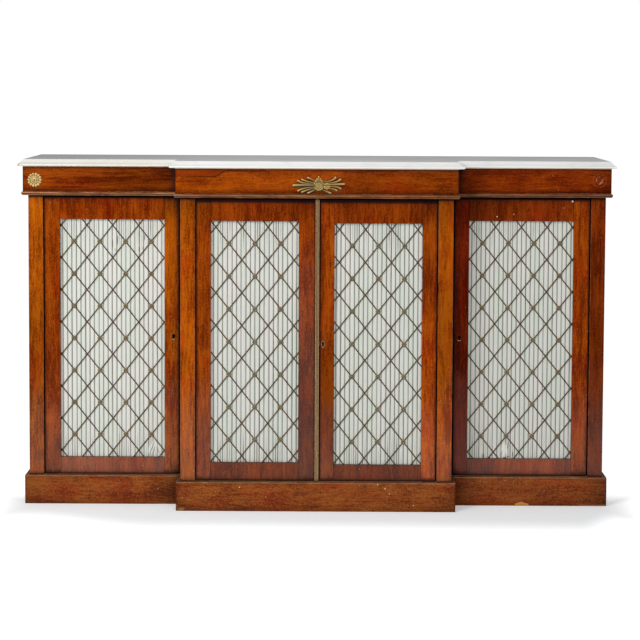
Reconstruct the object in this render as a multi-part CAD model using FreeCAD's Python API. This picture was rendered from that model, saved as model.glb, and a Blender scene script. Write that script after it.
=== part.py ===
import FreeCAD, Part
import math
import os

from FreeCAD import Vector

# Breakfront side cabinet: a projecting centre between two wings, four doors with
# wire grilles over silk, a frieze with gilt mounts and a marble top.
# Millimetres. +X to the right, +Z up, the doors face -Y. The origin is on the
# floor under the middle of the cabinet's own box.

# ---- Driving dimensions ------------------------------------------------------

# Carcass
carcass_width = 1551.0        # outside of one end panel to outside of the other
carcass_depth = 313.0         # front of a wing to the back
break_width = 722.7           # outside width of the projecting centre
break_projection = 80.7       # how far the centre stands in front of the wings
end_thickness = 20.0
divider_thickness = 28.0
closing_rebate = 6.5          # divider standing out beside a wing door's free edge
board_thickness = 18.0        # bottoms and tops
back_thickness = 12.0
shelf_thickness = 16.0
shelf_height = 440.0          # floor to the underside of the shelves
housing_depth = 6.0           # how deep each horizontal board is let into the uprights
stop_gap = 0.4                # shelf edge behind a closed door

# Front
plinth_height = 78.0
plinth_overhang = 11.0        # plinth standing out beyond the pilasters
plinth_backing = 3.0          # plinth front running back under the pilasters
pilaster_height = 758.5       # plinth top to the underside of the frieze
pilaster_width = 39.5
pilaster_thickness = 26.0
frieze_height = 78.5
frieze_overhang = 12.5
moulding_height = 10.5
moulding_proud = 4.0          # moulding standing out beyond the frieze
moulding_rebate = 4.0         # moulding let into the frieze
moulding_low_fillet = 2.3
moulding_high_fillet = 1.3
arris = 0.6                   # softened edges of the visible boards

# Marble
marble_thickness = 18.0
marble_overhang = 25.0        # nose of the marble beyond the pilasters
marble_bevel = 14.0           # width of the shaped edge in plan
marble_nose = 6.5             # height of the rounded nose
marble_shoulder = 5.0         # drop from the top arris before the bevel hollows
marble_shoulder_run = 4.2
marble_hollow = 0.2
marble_break_extra = 3.0      # marble standing out a little more beside the break

# Doors
door_thickness = 22.0
door_recess = 4.0             # door face behind the pilaster face
hinge_gap = 2.5
closing_gap = 2.65
meeting_gap = 2.5
meeting_offset = 7.3          # dead leaf's meeting edge right of the middle
bottom_gap = 2.2
top_gap = 4.0
bottom_rail_height = 45.3
top_rail_height = 61.0
wing_hinge_stile = 42.5
wing_lock_stile = 39.3
centre_hinge_stile = 38.9
dead_meeting_stile = 54.6
centre_lock_stile = 37.5
left_frame_lift = 2.8         # dead leaf's opening cut higher than the others
right_frame_drop = 2.0        # centre right door's opening cut lower
glazing_lip = 8.0             # wood in front of the grille
rebate_width = 8.0
tenon_thickness = 7.0
tenon_length = 18.0
tenon_shoulder = 8.0

# Grilles, silk and the battens that hold them
lattice_across = 69.3         # rosette to rosette, sideways
lattice_up = 87.5             # rosette to rosette, upwards
wire_width = 3.0
wire_thickness = 1.2
grille_rim = 5.0
grille_clearance = 0.5
rosette_radius = 6.0
rosette_proud = 1.4
silk_gap = 0.6
silk_thickness = 3.0
batten_width = 14.0

# Pivot hinges
pivot_inset = 12.0            # pin from the door's hinge edge
pivot_setback = 7.0           # pin behind the door's face
pin_radius = 2.5
pin_clearance = 0.05
pin_depth = 5.0               # pin beyond the door's plate
collar_radius = 4.5
collar_clearance = 0.1
plate_length = 34.0
plate_width = 10.0
plate_thickness = 2.5
plate_edge = 2.0              # plate from the door's hinge edge

# Locks
wing_lock_height = 457.0      # floor to the round of the keyhole
centre_lock_height = 450.0
wing_key_inset = 15.0         # keyhole from the free edge
centre_key_inset = 8.0
keyhole_radius = 3.2
keyhole_slot = 4.4
keyhole_drop = 9.0
liner_wall = 1.4
liner_depth = 2.0
oval_plate_wall = 1.8
lock_case_width = 24.0
lock_case_height = 48.0
lock_case_depth = 9.0
lock_bolt_rise = 13.0         # bolt above the keyhole
lock_bolt_height = 9.0
lock_bolt_thickness = 4.5
lock_bolt_length = 20.0
lock_throw = 10.0
bolt_rest = 0.3               # bolt inside the door's edge when withdrawn
slide_clearance = 0.15
pocket_clearance = 1.0

# Dead leaf: brass astragal and flush bolt
astragal_width = 10.6
astragal_base = 1.4
reed_count = 3
bolt_inset = 12.0
flush_bolt_size = 6.0
flush_bolt_length = 90.0
flush_bolt_throw = 10.0
bolt_plate_width = 16.0
bolt_plate_thickness = 2.0
bolt_plate_length = 104.0
knob_radius = 3.5
knob_proud = 5.0
knob_drop = 60.0              # knob below the door's top

# Gilt mounts on the frieze
patera_inset = 32.0           # patera's middle from the end of the frieze
patera_drop = 38.0            # patera's middle below the top of the frieze
patera_radius = 19.4
patera_thickness = 3.0
petal_count = 14
petal_radius = 3.8
patera_boss_radius = 5.6
patera_boss_proud = 2.2
mount_offset = 4.5            # mount's middle right of the cabinet's middle
mount_drop = 45.0             # mount's middle below the top of the frieze
mount_thickness = 3.0
mount_disc_radius = 12.5
mount_boss_radius = 5.0
mount_bar_length = 71.0
mount_bar_width = 7.0
mount_leaf_width = 4.2
mount_crown_height = 24.0
mount_tilt = 2.4              # degrees, right side up

# ---- Places worked out from them ---------------------------------------------

half_width = carcass_width / 2
break_half = break_width / 2
overall_depth = carcass_depth + break_projection + marble_overhang
wing_y = -overall_depth / 2 + marble_overhang + break_projection
break_y = wing_y - break_projection
back_y = wing_y + carcass_depth
inside_back_y = back_y - back_thickness
front_top = plinth_height + pilaster_height
carcass_top = front_top + frieze_height
divider_outer = break_half + closing_rebate
divider_inner = divider_outer - divider_thickness
end_inner = half_width - end_thickness
shelf_top = shelf_height + shelf_thickness
bottom_underside = plinth_height - board_thickness
top_underside = carcass_top - board_thickness
door_low = plinth_height + bottom_gap
door_high = front_top - top_gap
swing_radius = math.hypot(pivot_inset, door_thickness - pivot_setback)

# The cabinet's front outline in plan, from the back of the left end round to
# the back of the right end: end, wing, return, centre, return, wing, end.
outline = [
    (-half_width, back_y), (-half_width, wing_y), (-break_half, wing_y),
    (-break_half, break_y), (break_half, break_y), (break_half, wing_y),
    (half_width, wing_y), (half_width, back_y),
]


# ---- Shapes used all over ----------------------------------------------------

def block(x_pair, y_pair, z_pair):
    """A plain board between two places on each axis."""
    low = [min(pair) for pair in (x_pair, y_pair, z_pair)]
    high = [max(pair) for pair in (x_pair, y_pair, z_pair)]
    return Part.makeBox(high[0] - low[0], high[1] - low[1], high[2] - low[2], Vector(*low))


def eased(shape):
    """The same board with every edge softened."""
    return shape.makeChamfer(arris, shape.Edges)


def joined(shapes):
    """One solid out of pieces that touch."""
    return shapes[0].multiFuse(shapes[1:]).removeSplitter()


def upright_cylinder(x, y, z_low, z_high, radius):
    return Part.makeCylinder(radius, z_high - z_low, Vector(x, y, z_low))


def facing_cylinder(x, z, y_front, y_back, radius):
    """A cylinder whose axis runs from front to back."""
    return Part.makeCylinder(radius, y_back - y_front, Vector(x, y_front, z), Vector(0, 1, 0))


def run_direction(path, run):
    start, end = Vector(*path[run], 0), Vector(*path[run + 1], 0)
    return (end - start).normalize()


def run_normal(path, run):
    """Outward direction of one run of the outline."""
    along = run_direction(path, run)
    return Vector(along.y, -along.x, 0)


def offset_corner(path, corner, distance):
    """A corner of the outline moved outwards, along the mitre."""
    runs = [run for run in (corner - 1, corner) if 0 <= run < len(path) - 1]
    place = Vector(*path[corner], 0)
    for run in runs:
        place = place + run_normal(path, run) * distance
    return place


def mitred_board(path, run, inner, outer, z_low, z_high):
    """A board along one run, from one offset to another, with mitred ends."""
    corners = [
        offset_corner(path, run, inner), offset_corner(path, run + 1, inner),
        offset_corner(path, run + 1, outer), offset_corner(path, run, outer),
    ]
    plan = Part.makePolygon(corners + [corners[0]])
    plan.translate(Vector(0, 0, z_low))
    return Part.Face(plan).extrude(Vector(0, 0, z_high - z_low))


def mitred_moulding(path, run, profile, reach):
    """A shaped length along one run, mitred by cutting a longer one.

    The profile is a list of (kind, points), each point an (out, z) pair; reach is
    how much further than its run the uncut length goes.
    """
    normal = run_normal(path, run)
    along = run_direction(path, run)
    start = Vector(*path[run], 0) - along * reach
    length = (Vector(*path[run + 1], 0) - Vector(*path[run], 0)).Length + 2 * reach

    def at(point):
        return start + normal * point[0] + Vector(0, 0, point[1])

    edges = []
    for kind, points in profile:
        places = [at(point) for point in points]
        edges.append(Part.Arc(*places).toShape() if kind == "arc" else Part.makeLine(*places))
    stick = Part.Face(Part.Wire(edges)).extrude(along * length)
    outs = [point[0] for _, points in profile for point in points]
    heights = [point[1] for _, points in profile for point in points]
    territory = mitred_board(path, run, min(outs) - reach, max(outs) + reach,
                             min(heights) - reach, max(heights) + reach)
    return stick.common(territory)


# ---- Doors: where each one hangs ---------------------------------------------

class Door:
    """Edges and openings of one door; side is +1 when it is hinged on the left."""

    def __init__(self, name, side, face_y, hinge_x, free_x, hinge_stile, lock_stile, lift):
        self.name = name
        self.side = side
        self.front = face_y
        self.back = face_y + door_thickness
        self.hinge_x = hinge_x
        self.free_x = free_x
        self.opening_x = (hinge_x + side * hinge_stile, free_x - side * lock_stile)
        self.opening_z = (door_low + bottom_rail_height + lift, door_high - top_rail_height + lift)
        self.pivot_x = hinge_x + side * pivot_inset
        self.pivot_y = face_y + pivot_setback

    def from_free(self, distance):
        """A place in from the free edge."""
        return self.free_x - self.side * distance

    def widened(self, margin):
        """The opening grown by a margin on every side."""
        low, high = sorted(self.opening_x)
        return (low - margin, high + margin), (self.opening_z[0] - margin, self.opening_z[1] + margin)


wing_face = wing_y + door_recess
centre_face = break_y + door_recess
wing_hinge_edge = half_width - pilaster_width - hinge_gap
wing_free_edge = divider_outer + closing_gap
centre_hinge_edge = break_half - pilaster_width - hinge_gap

left_wing = Door("left_wing_door", 1, wing_face, -wing_hinge_edge, -wing_free_edge,
                 wing_hinge_stile, wing_lock_stile, 0)
centre_left = Door("centre_left_door", 1, centre_face, -centre_hinge_edge, meeting_offset,
                   centre_hinge_stile, dead_meeting_stile, left_frame_lift)
centre_right = Door("centre_right_door", -1, centre_face, centre_hinge_edge,
                    meeting_offset + meeting_gap, centre_hinge_stile, centre_lock_stile,
                    -right_frame_drop)
right_wing = Door("right_wing_door", -1, wing_face, wing_hinge_edge, wing_free_edge,
                  wing_hinge_stile, wing_lock_stile, 0)
doors = [left_wing, centre_left, centre_right, right_wing]
locked_doors = {
    "left_wing_door": (left_wing, wing_key_inset),
    "centre_right_door": (centre_right, centre_key_inset),
    "right_wing_door": (right_wing, wing_key_inset),
}


# ---- Pivot hinges -------------------------------------------------------------

def pivot_plate(door, z_low):
    """The brass plate let into a door's end, or into the board it faces."""
    near = door.hinge_x + door.side * plate_edge
    far = near + door.side * plate_length
    y_pair = (door.pivot_y - plate_width / 2, door.pivot_y + plate_width / 2)
    return block((near, far), y_pair, (z_low, z_low + plate_thickness))


def door_pivot_plates(door):
    """Both plates of one door, drilled for the pins."""
    plates = []
    for z_low in (door_low, door_high - plate_thickness):
        hole = upright_cylinder(door.pivot_x, door.pivot_y, z_low, z_low + plate_thickness,
                                pin_radius + pin_clearance)
        plates.append(pivot_plate(door, z_low).cut(hole))
    return plates


def carcass_pivots(door):
    """The lower and the upper plate fixed to the carcass, each with its pin."""
    lower = pivot_plate(door, plinth_height - plate_thickness)
    collar = upright_cylinder(door.pivot_x, door.pivot_y, plinth_height,
                              door_low - collar_clearance, collar_radius)
    lower_pin = upright_cylinder(door.pivot_x, door.pivot_y, plinth_height,
                                 door_low + plate_thickness + pin_depth, pin_radius)
    upper = pivot_plate(door, front_top)
    upper_pin = upright_cylinder(door.pivot_x, door.pivot_y,
                                 door_high - plate_thickness - pin_depth, front_top, pin_radius)
    return [joined([lower, collar, lower_pin]), joined([upper, upper_pin])]


def pivot_bores(door):
    """Room for the plates and the pins in a door's hinge stile."""
    bore_depth = plate_thickness + pin_depth + pocket_clearance
    radius = pin_radius + pocket_clearance
    return [
        pivot_plate(door, door_low),
        pivot_plate(door, door_high - plate_thickness),
        upright_cylinder(door.pivot_x, door.pivot_y, door_low, door_low + bore_depth, radius),
        upright_cylinder(door.pivot_x, door.pivot_y, door_high - bore_depth, door_high, radius),
    ]


# ---- Locks and bolts -----------------------------------------------------------

def keyhole(x, z, y_front, y_back, grow):
    """A round hole over a slot, grown by the liner's wall where one is let in."""
    slot_half = keyhole_slot / 2 + grow
    slot = block((x - slot_half, x + slot_half), (y_front, y_back), (z - keyhole_drop - grow, z))
    return joined([facing_cylinder(x, z, y_front, y_back, keyhole_radius + grow), slot])


def lock_height(door):
    return centre_lock_height if door is centre_right else wing_lock_height


def lock_case_block(door):
    x_pair = (door.free_x, door.from_free(lock_case_width))
    middle_z = lock_height(door)
    z_pair = (middle_z - lock_case_height / 2, middle_z + lock_case_height / 2)
    return block(x_pair, (door.back - lock_case_depth, door.back), z_pair)


def lock_bolt_block(door, start, length, margin):
    """The bolt, or the room round it, from a place in from the free edge."""
    middle_y = door.back - lock_case_depth / 2
    middle_z = lock_height(door) + lock_bolt_rise
    half_y = lock_bolt_thickness / 2 + margin
    half_z = lock_bolt_height / 2 + margin
    return block((door.from_free(start), door.from_free(start + length)),
                 (middle_y - half_y, middle_y + half_y), (middle_z - half_z, middle_z + half_z))


def lock_bolt(door):
    return lock_bolt_block(door, bolt_rest, lock_bolt_length, 0)


def bolt_pocket(door, gap):
    """The pocket beyond the gap that the thrown bolt enters."""
    depth = lock_throw + pocket_clearance - gap
    return lock_bolt_block(door, -gap - depth, depth, pocket_clearance)


def lock_case(door, key_x):
    """The iron case, open for its bolt and for the key."""
    channel = lock_bolt_block(door, 0, bolt_rest + lock_bolt_length + pocket_clearance,
                              slide_clearance)
    key_way = keyhole(key_x, lock_height(door), door.back - lock_case_depth,
                      door.back - lock_case_depth / 4, 0)
    return lock_case_block(door).cut(channel).cut(key_way)


def keyhole_liner(door, key_x):
    """The brass rim let into the stile round the keyhole."""
    front, back = door.front, door.front + liner_depth
    outside = keyhole(key_x, lock_height(door), front, back, liner_wall)
    inside = keyhole(key_x, lock_height(door), front, back, 0)
    return outside.cut(inside)


def oval_plate(door, key_x):
    """The pale oval let in round the centre keyhole, before it is pierced."""
    half_height = keyhole_radius + keyhole_drop / 2 + oval_plate_wall
    half_width_here = keyhole_radius + oval_plate_wall
    middle_z = lock_height(door) - keyhole_drop / 2 + keyhole_radius / 2
    middle = Vector(key_x, door.front, middle_z)
    oval = Part.Ellipse(middle + Vector(0, 0, half_height),
                        middle + Vector(half_width_here, 0, 0), middle).toShape()
    return Part.Face(Part.Wire(oval)).extrude(Vector(0, liner_depth, 0))


def lock_parts(door, key_inset):
    """Case and keyhole trim, and what the lock stile loses to them."""
    key_x = door.from_free(key_inset)
    way = keyhole(key_x, lock_height(door), door.front, door.back, 0)
    if door is centre_right:
        trim = oval_plate(door, key_x)
    else:
        trim = keyhole_liner(door, key_x)
    cuts = [way, trim, lock_case_block(door)]
    return [lock_case(door, key_x), trim.cut(way)], cuts


def flush_bolt_place(margin):
    x = centre_left.from_free(bolt_inset)
    y_back = centre_left.back - bolt_plate_thickness
    half = flush_bolt_size / 2 + margin
    return (x - half, x + half), (y_back - flush_bolt_size - margin, y_back)


def flush_bolt():
    """The dead leaf's bolt with its knob, drawn back into the stile."""
    x_pair, y_pair = flush_bolt_place(0)
    bolt_top = door_high - bolt_rest
    bar = block(x_pair, y_pair, (bolt_top - flush_bolt_length, bolt_top))
    x = centre_left.from_free(bolt_inset)
    knob = facing_cylinder(x, door_high - knob_drop, y_pair[1],
                           centre_left.back + knob_proud, knob_radius)
    return joined([bar, knob])


def flush_bolt_channel():
    x_pair, y_pair = flush_bolt_place(slide_clearance)
    low = door_high - bolt_rest - flush_bolt_length - pocket_clearance
    return block(x_pair, y_pair, (low, door_high))


def bolt_plate_block():
    x = centre_left.from_free(bolt_inset)
    x_pair = (x - bolt_plate_width / 2, x + bolt_plate_width / 2)
    y_pair = (centre_left.back - bolt_plate_thickness, centre_left.back)
    return block(x_pair, y_pair, (door_high - bolt_plate_length, door_high))


def bolt_plate():
    """The plate over the bolt, slotted for its knob."""
    x = centre_left.from_free(bolt_inset)
    half = knob_radius + slide_clearance
    knob_z = door_high - knob_drop
    y_pair = (centre_left.back - bolt_plate_thickness, centre_left.back)
    slot = block((x - half, x + half), y_pair, (knob_z - half, knob_z + half + flush_bolt_throw))
    return bolt_plate_block().cut(slot)


def flush_bolt_pocket():
    """The hole in the frieze rail that the thrown bolt enters."""
    x_pair, y_pair = flush_bolt_place(pocket_clearance)
    depth = flush_bolt_throw - top_gap + pocket_clearance
    return block(x_pair, (y_pair[0], y_pair[1] + pocket_clearance), (front_top, front_top + depth))


# ---- Carcass -------------------------------------------------------------------

def horizontal_boards(z_low, z_high, wing_front, centre_front):
    """Left, centre and right boards let into the uprights at one height."""
    wing_x = (end_inner + housing_depth, divider_outer - housing_depth)
    centre_x = divider_inner + housing_depth
    return [
        block((-wing_x[0], -wing_x[1]), (wing_front, inside_back_y), (z_low, z_high)),
        block((-centre_x, centre_x), (centre_front, inside_back_y), (z_low, z_high)),
        block(wing_x, (wing_front, inside_back_y), (z_low, z_high)),
    ]


def shelf_reliefs():
    """Notches in the shelves' front corners, clear of the doors' swinging edges."""
    notches = []
    for door in doors:
        wall = end_inner if door in (left_wing, right_wing) else divider_inner
        outer = -door.side * (wall + housing_depth)
        inner = door.pivot_x + door.side * swing_radius
        y_pair = (door.front, door.pivot_y + swing_radius + pocket_clearance)
        notches.append(block((outer, inner), y_pair, (shelf_height, shelf_top)))
    return notches


bottoms = horizontal_boards(bottom_underside, plinth_height,
                            wing_y + plinth_backing, break_y + plinth_backing)
tops = horizontal_boards(top_underside, carcass_top,
                         wing_y + pilaster_thickness, break_y + pilaster_thickness)
full_shelves = horizontal_boards(shelf_height, shelf_top,
                                 wing_face + door_thickness + stop_gap,
                                 centre_face + door_thickness + stop_gap)
shelves = [shelf.cut(Part.makeCompound(shelf_reliefs())) for shelf in full_shelves]
pivots = [piece for door in doors for piece in carcass_pivots(door)]


def end_panel(side):
    """One end, with a foot that runs forward under the outer pilaster."""
    x_pair = (side * end_inner, side * half_width)
    wall = block(x_pair, (wing_y + pilaster_thickness, back_y), (0, carcass_top))
    foot = block(x_pair, (wing_y + plinth_backing, wing_y + pilaster_thickness),
                 (0, plinth_height))
    return joined([wall, foot]).cut(Part.makeCompound(bottoms + tops + shelves))


def divider(side):
    """The wall between a wing and the centre; its front part is the break's side."""
    inner = side * divider_inner
    wall = block((inner, side * divider_outer), (wing_y, back_y), (0, carcass_top))
    side_face = block((inner, side * break_half), (break_y + pilaster_thickness, wing_y),
                      (0, carcass_top))
    foot = block((inner, side * break_half),
                 (break_y + plinth_backing, break_y + pilaster_thickness), (0, plinth_height))
    gap_door = left_wing if side < 0 else right_wing
    lost = bottoms + tops + shelves + [bolt_pocket(gap_door, closing_gap)]
    return joined([wall, side_face, foot]).cut(Part.makeCompound(lost))


def back_boards():
    z_pair = (bottom_underside, carcass_top)
    y_pair = (inside_back_y, back_y)
    return [
        block((-end_inner, -divider_outer), y_pair, z_pair),
        block((-divider_inner, divider_inner), y_pair, z_pair),
        block((divider_outer, end_inner), y_pair, z_pair),
    ]


def pilaster(side, outer_edge, front):
    x_pair = (side * outer_edge, side * (outer_edge - pilaster_width))
    return eased(block(x_pair, (front, front + pilaster_thickness), (plinth_height, front_top)))


# ---- Plinth, frieze and moulding -------------------------------------------------

left_wing_run = outline.index((-half_width, wing_y))
centre_run = outline.index((-break_half, break_y))
right_wing_run = outline.index((break_half, wing_y))
wing_runs = {left_wing_run: -1, right_wing_run: 1}
section_runs = {
    "left": [left_wing_run - 1, left_wing_run],
    "centre": [centre_run - 1, centre_run, centre_run + 1],
    "right": [right_wing_run, right_wing_run + 1],
}


def backing(run, depth, z_low, z_high):
    """The part of a front board that lies behind the pilasters' face."""
    if run == centre_run:
        return block((-break_half, break_half), (break_y, break_y + depth), (z_low, z_high))
    side = wing_runs[run]
    return block((side * half_width, side * divider_outer), (wing_y, wing_y + depth),
                 (z_low, z_high))


def plinth_board(run):
    face = mitred_board(outline, run, 0, plinth_overhang, 0, plinth_height)
    face = face.makeChamfer(arris, face.Edges)
    if run in wing_runs or run == centre_run:
        return joined([face, backing(run, plinth_backing, 0, plinth_height)])
    return face


def frieze_board(run):
    lower = mitred_board(outline, run, 0, frieze_overhang - moulding_rebate,
                         front_top, front_top + moulding_height)
    upper = mitred_board(outline, run, 0, frieze_overhang,
                         front_top + moulding_height, carcass_top)
    parts = [lower, upper]
    if run in wing_runs or run == centre_run:
        parts.append(backing(run, pilaster_thickness, front_top, carcass_top))
    return joined(parts)


def frieze(section):
    """One section of the frieze, cut for the pins' plates and the flush bolt."""
    cuts = Part.makeCompound(pivots + [flush_bolt_pocket()])
    return [frieze_board(run).cut(cuts) for run in section_runs[section]]


def plinth(section):
    return [plinth_board(run) for run in section_runs[section]]


def moulding_profile():
    """A bead between two small fillets, let into the frieze's lower edge."""
    inside = frieze_overhang - moulding_rebate
    nose = frieze_overhang + moulding_proud
    fillet = nose - moulding_proud / 2
    top = front_top + moulding_height
    bead_low = front_top + moulding_low_fillet
    bead_high = top - moulding_high_fillet
    bead_middle = (bead_low + bead_high) / 2
    return [
        ("line", [(inside, front_top), (fillet, front_top)]),
        ("line", [(fillet, front_top), (fillet, bead_low)]),
        ("arc", [(fillet, bead_low), (nose, bead_middle), (fillet, bead_high)]),
        ("line", [(fillet, bead_high), (frieze_overhang, top)]),
        ("line", [(frieze_overhang, top), (inside, top)]),
        ("line", [(inside, top), (inside, front_top)]),
    ]


def frieze_moulding():
    reach = 2 * (frieze_overhang + moulding_proud)
    return [mitred_moulding(outline, run, moulding_profile(), reach)
            for run in range(len(outline) - 1)]


# ---- Marble --------------------------------------------------------------------

def marble_edge_profile():
    """Top arris, a hollow bevel falling outwards, a rounded nose and the underside."""
    inner = marble_overhang - marble_bevel
    top = carcass_top + marble_thickness
    nose_centre = (marble_overhang - marble_nose / 2, carcass_top + marble_nose / 2)
    shoulder = (inner + marble_shoulder_run, top - marble_shoulder)
    nose_foot = (nose_centre[0], carcass_top)
    nose_head = (nose_centre[0], carcass_top + marble_nose)
    hollow = ((nose_head[0] + shoulder[0]) / 2 - marble_hollow,
              (nose_head[1] + shoulder[1]) / 2 - marble_hollow)
    return [
        ("line", [(inner - marble_bevel, carcass_top), nose_foot]),
        ("arc", [nose_foot, (marble_overhang, nose_centre[1]), nose_head]),
        ("arc", [nose_head, hollow, shoulder]),
        ("line", [shoulder, (inner, top)]),
        ("line", [(inner, top), (inner - marble_bevel, top)]),
        ("line", [(inner - marble_bevel, top), (inner - marble_bevel, carcass_top)]),
    ]


def marble_top():
    """One slab that follows the breakfront, shaped on the front and the ends."""
    marble_half = break_half + marble_break_extra
    path = [(math.copysign(marble_half, x), y) if abs(x) == break_half else (x, y)
            for x, y in outline]
    inner = marble_overhang - 2 * marble_bevel
    corners = [offset_corner(path, corner, inner) for corner in range(len(path))]
    plan = Part.makePolygon(corners + [corners[0]])
    plan.translate(Vector(0, 0, carcass_top))
    slab = Part.Face(plan).extrude(Vector(0, 0, marble_thickness))
    reach = 2 * marble_overhang
    edges = [mitred_moulding(path, run, marble_edge_profile(), reach)
             for run in range(len(path) - 1)]
    ends = block((-half_width - reach, half_width + reach), (break_y - reach, back_y),
                 (carcass_top, carcass_top + marble_thickness))
    return joined([slab] + edges).common(ends)


# ---- Doors ---------------------------------------------------------------------

def stile(door, from_x, to_x, rails, cuts):
    """One upright of a door, mortised for the rails and rebated for the grille."""
    board = eased(block((from_x, to_x), (door.front, door.back), (door_low, door_high)))
    return board.cut(Part.makeCompound(rails + [rebate(door)] + cuts))


def rebate(door):
    """The step behind the opening that the grille, silk and battens lie in."""
    x_pair, z_pair = door.widened(rebate_width)
    return block(x_pair, (door.front + glazing_lip, door.back), z_pair)


def door_rails(door):
    """Bottom and top rail, each with a tenon into both stiles."""
    tenon_front = door.front + (door_thickness - tenon_thickness) / 2
    x_low, x_high = sorted(door.opening_x)
    rails = []
    for z_pair in ((door_low, door.opening_z[0]), (door.opening_z[1], door_high)):
        board = eased(block((x_low, x_high), (door.front, door.back), z_pair))
        tenon = block((x_low - tenon_length, x_high + tenon_length),
                      (tenon_front, tenon_front + tenon_thickness),
                      (z_pair[0] + tenon_shoulder, z_pair[1] - tenon_shoulder))
        rails.append(joined([board, tenon]).cut(rebate(door)))
    return rails


def grille(door):
    """Two layers of crossing wires in a flat rim, with a rosette on every other crossing."""
    y_front = door.front + glazing_lip
    y_middle = y_front + wire_thickness
    y_back = y_middle + wire_thickness
    x_pair, z_pair = door.widened(rebate_width - grille_clearance)
    window_x, window_z = door.widened(rebate_width - grille_clearance - grille_rim)
    window = block(window_x, (y_front, y_back), window_z)
    rim = block(x_pair, (y_front, y_back), z_pair).cut(window)
    middle_x = sum(door.opening_x) / 2
    middle_z = sum(door.opening_z) / 2
    half_w = (x_pair[1] - x_pair[0]) / 2
    half_h = (z_pair[1] - z_pair[0]) / 2
    columns = math.floor((window_x[1] - window_x[0]) / lattice_across)
    shift = lattice_across / 2 if columns % 2 == 0 else 0
    lean = math.degrees(math.atan2(lattice_across, lattice_up))
    wire_length = 2 * (half_w + half_h) * 1.2
    pitch = lattice_across
    count = math.ceil((half_w + half_h * lattice_across / lattice_up) / pitch) + 1
    field = block(x_pair, (y_front, y_back), z_pair)
    wires = []
    for layer_y, turn in ((y_front, lean), (y_middle, -lean)):
        for step in range(-count, count + 1):
            wire = block((-wire_width / 2, wire_width / 2), (layer_y, layer_y + wire_thickness),
                         (-wire_length / 2, wire_length / 2))
            wire.rotate(Vector(0, 0, 0), Vector(0, 1, 0), turn)
            wire.translate(Vector(middle_x + shift + step * pitch, 0, middle_z))
            wires.append(wire.common(field))
    wires = [wire for wire in wires if wire.Volume > wire_width ** 3]
    rows = math.floor(half_h / lattice_up)
    rosettes = []
    for row in range(-rows, rows + 1):
        for column in range(-columns, columns + 1):
            x = middle_x + shift + column * lattice_across
            if abs(x - middle_x) < half_w - rebate_width - rosette_radius:
                rosettes.append(facing_cylinder(x, middle_z + row * lattice_up,
                                                y_front - rosette_proud, y_middle,
                                                rosette_radius))
    return joined([rim] + wires + rosettes)


def silk_panel(door):
    """The room that the pleated silk takes, between the grille and the battens."""
    x_pair, z_pair = door.widened(rebate_width - grille_clearance)
    y_front = door.front + glazing_lip + 2 * wire_thickness + silk_gap
    return block(x_pair, (y_front, y_front + silk_thickness), z_pair)


def silk_battens(door):
    """Four strips, flush with the door's back, that hold the silk and the grille."""
    x_pair, z_pair = door.widened(rebate_width - grille_clearance)
    y_pair = (door.front + glazing_lip + 2 * wire_thickness + silk_gap + silk_thickness,
              door.back)
    return [
        block((x_pair[0], x_pair[0] + batten_width), y_pair, z_pair),
        block((x_pair[1] - batten_width, x_pair[1]), y_pair, z_pair),
        block((x_pair[0] + batten_width, x_pair[1] - batten_width), y_pair,
              (z_pair[0], z_pair[0] + batten_width)),
        block((x_pair[0] + batten_width, x_pair[1] - batten_width), y_pair,
              (z_pair[1] - batten_width, z_pair[1])),
    ]


def astragal():
    """The reeded brass strip down the dead leaf's meeting edge."""
    right = centre_left.free_x
    left = right - astragal_width
    front = centre_left.front
    base = block((left, right), (front - astragal_base, front), (door_low, door_high))
    reed_radius = astragal_width / (2 * reed_count)
    reeds = [upright_cylinder(left + reed_radius * (2 * index + 1), front - astragal_base,
                              door_low, door_high, reed_radius)
             for index in range(reed_count)]
    keep = block((left, right), (front - astragal_base - reed_radius, front),
                 (door_low, door_high))
    return joined([base] + reeds).common(keep)


# ---- Gilt mounts ----------------------------------------------------------------

def patera():
    """A round flower: petals, a flat ring and a raised boss."""
    x = -half_width - frieze_overhang + patera_inset
    z = carcass_top - patera_drop
    face = wing_y - frieze_overhang
    ring = patera_radius - petal_radius
    parts = [facing_cylinder(x, z, face - patera_thickness, face, ring)]
    for index in range(petal_count):
        angle = 2 * math.pi * index / petal_count
        parts.append(facing_cylinder(x + ring * math.cos(angle), z + ring * math.sin(angle),
                                     face - patera_thickness, face, petal_radius))
    parts.append(facing_cylinder(x, z, face - patera_thickness - patera_boss_proud, face,
                                 patera_boss_radius))
    return joined(parts)


def curved_leaf(start, bend, tip, width, y_front, y_back):
    """A leaf of even width along an arc through three (x, z) places, round at its tip."""
    places = [Vector(x, y_front, z) for x, z in (start, bend, tip)]
    circle = Part.Circle(*places)
    middle, radius = circle.Center, circle.Radius
    axis = Vector(0, 1, 0)
    outer = Part.makeCylinder(radius + width / 2, y_back - y_front, middle, axis)
    inner = Part.makeCylinder(radius - width / 2, y_back - y_front, middle, axis)
    beyond = 2 * (radius + width)
    rays = [middle + (place - middle).normalize() * beyond for place in places]
    wedge = Part.Face(Part.makePolygon([middle] + rays + [middle]))
    band = outer.cut(inner).common(wedge.extrude(axis * (y_back - y_front)))
    end = Part.makeCylinder(width * 0.62, y_back - y_front, places[2], axis)
    return joined([band, end])


# Each leaf of the mount's right half: where it leaves the middle, where it bends
# and its tip, as shares of the bar's length.
mount_leaves = [
    ((0.12, 0.06), (0.42, 0.17), (0.62, 0.34)),
    ((0.20, 0.03), (0.56, 0.11), (0.80, 0.26)),
    ((0.24, -0.04), (0.60, -0.05), (0.78, -0.14)),
    ((0.12, -0.06), (0.44, -0.10), (0.60, -0.18)),
    ((0.08, -0.10), (0.26, -0.17), (0.38, -0.25)),
]


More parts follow.
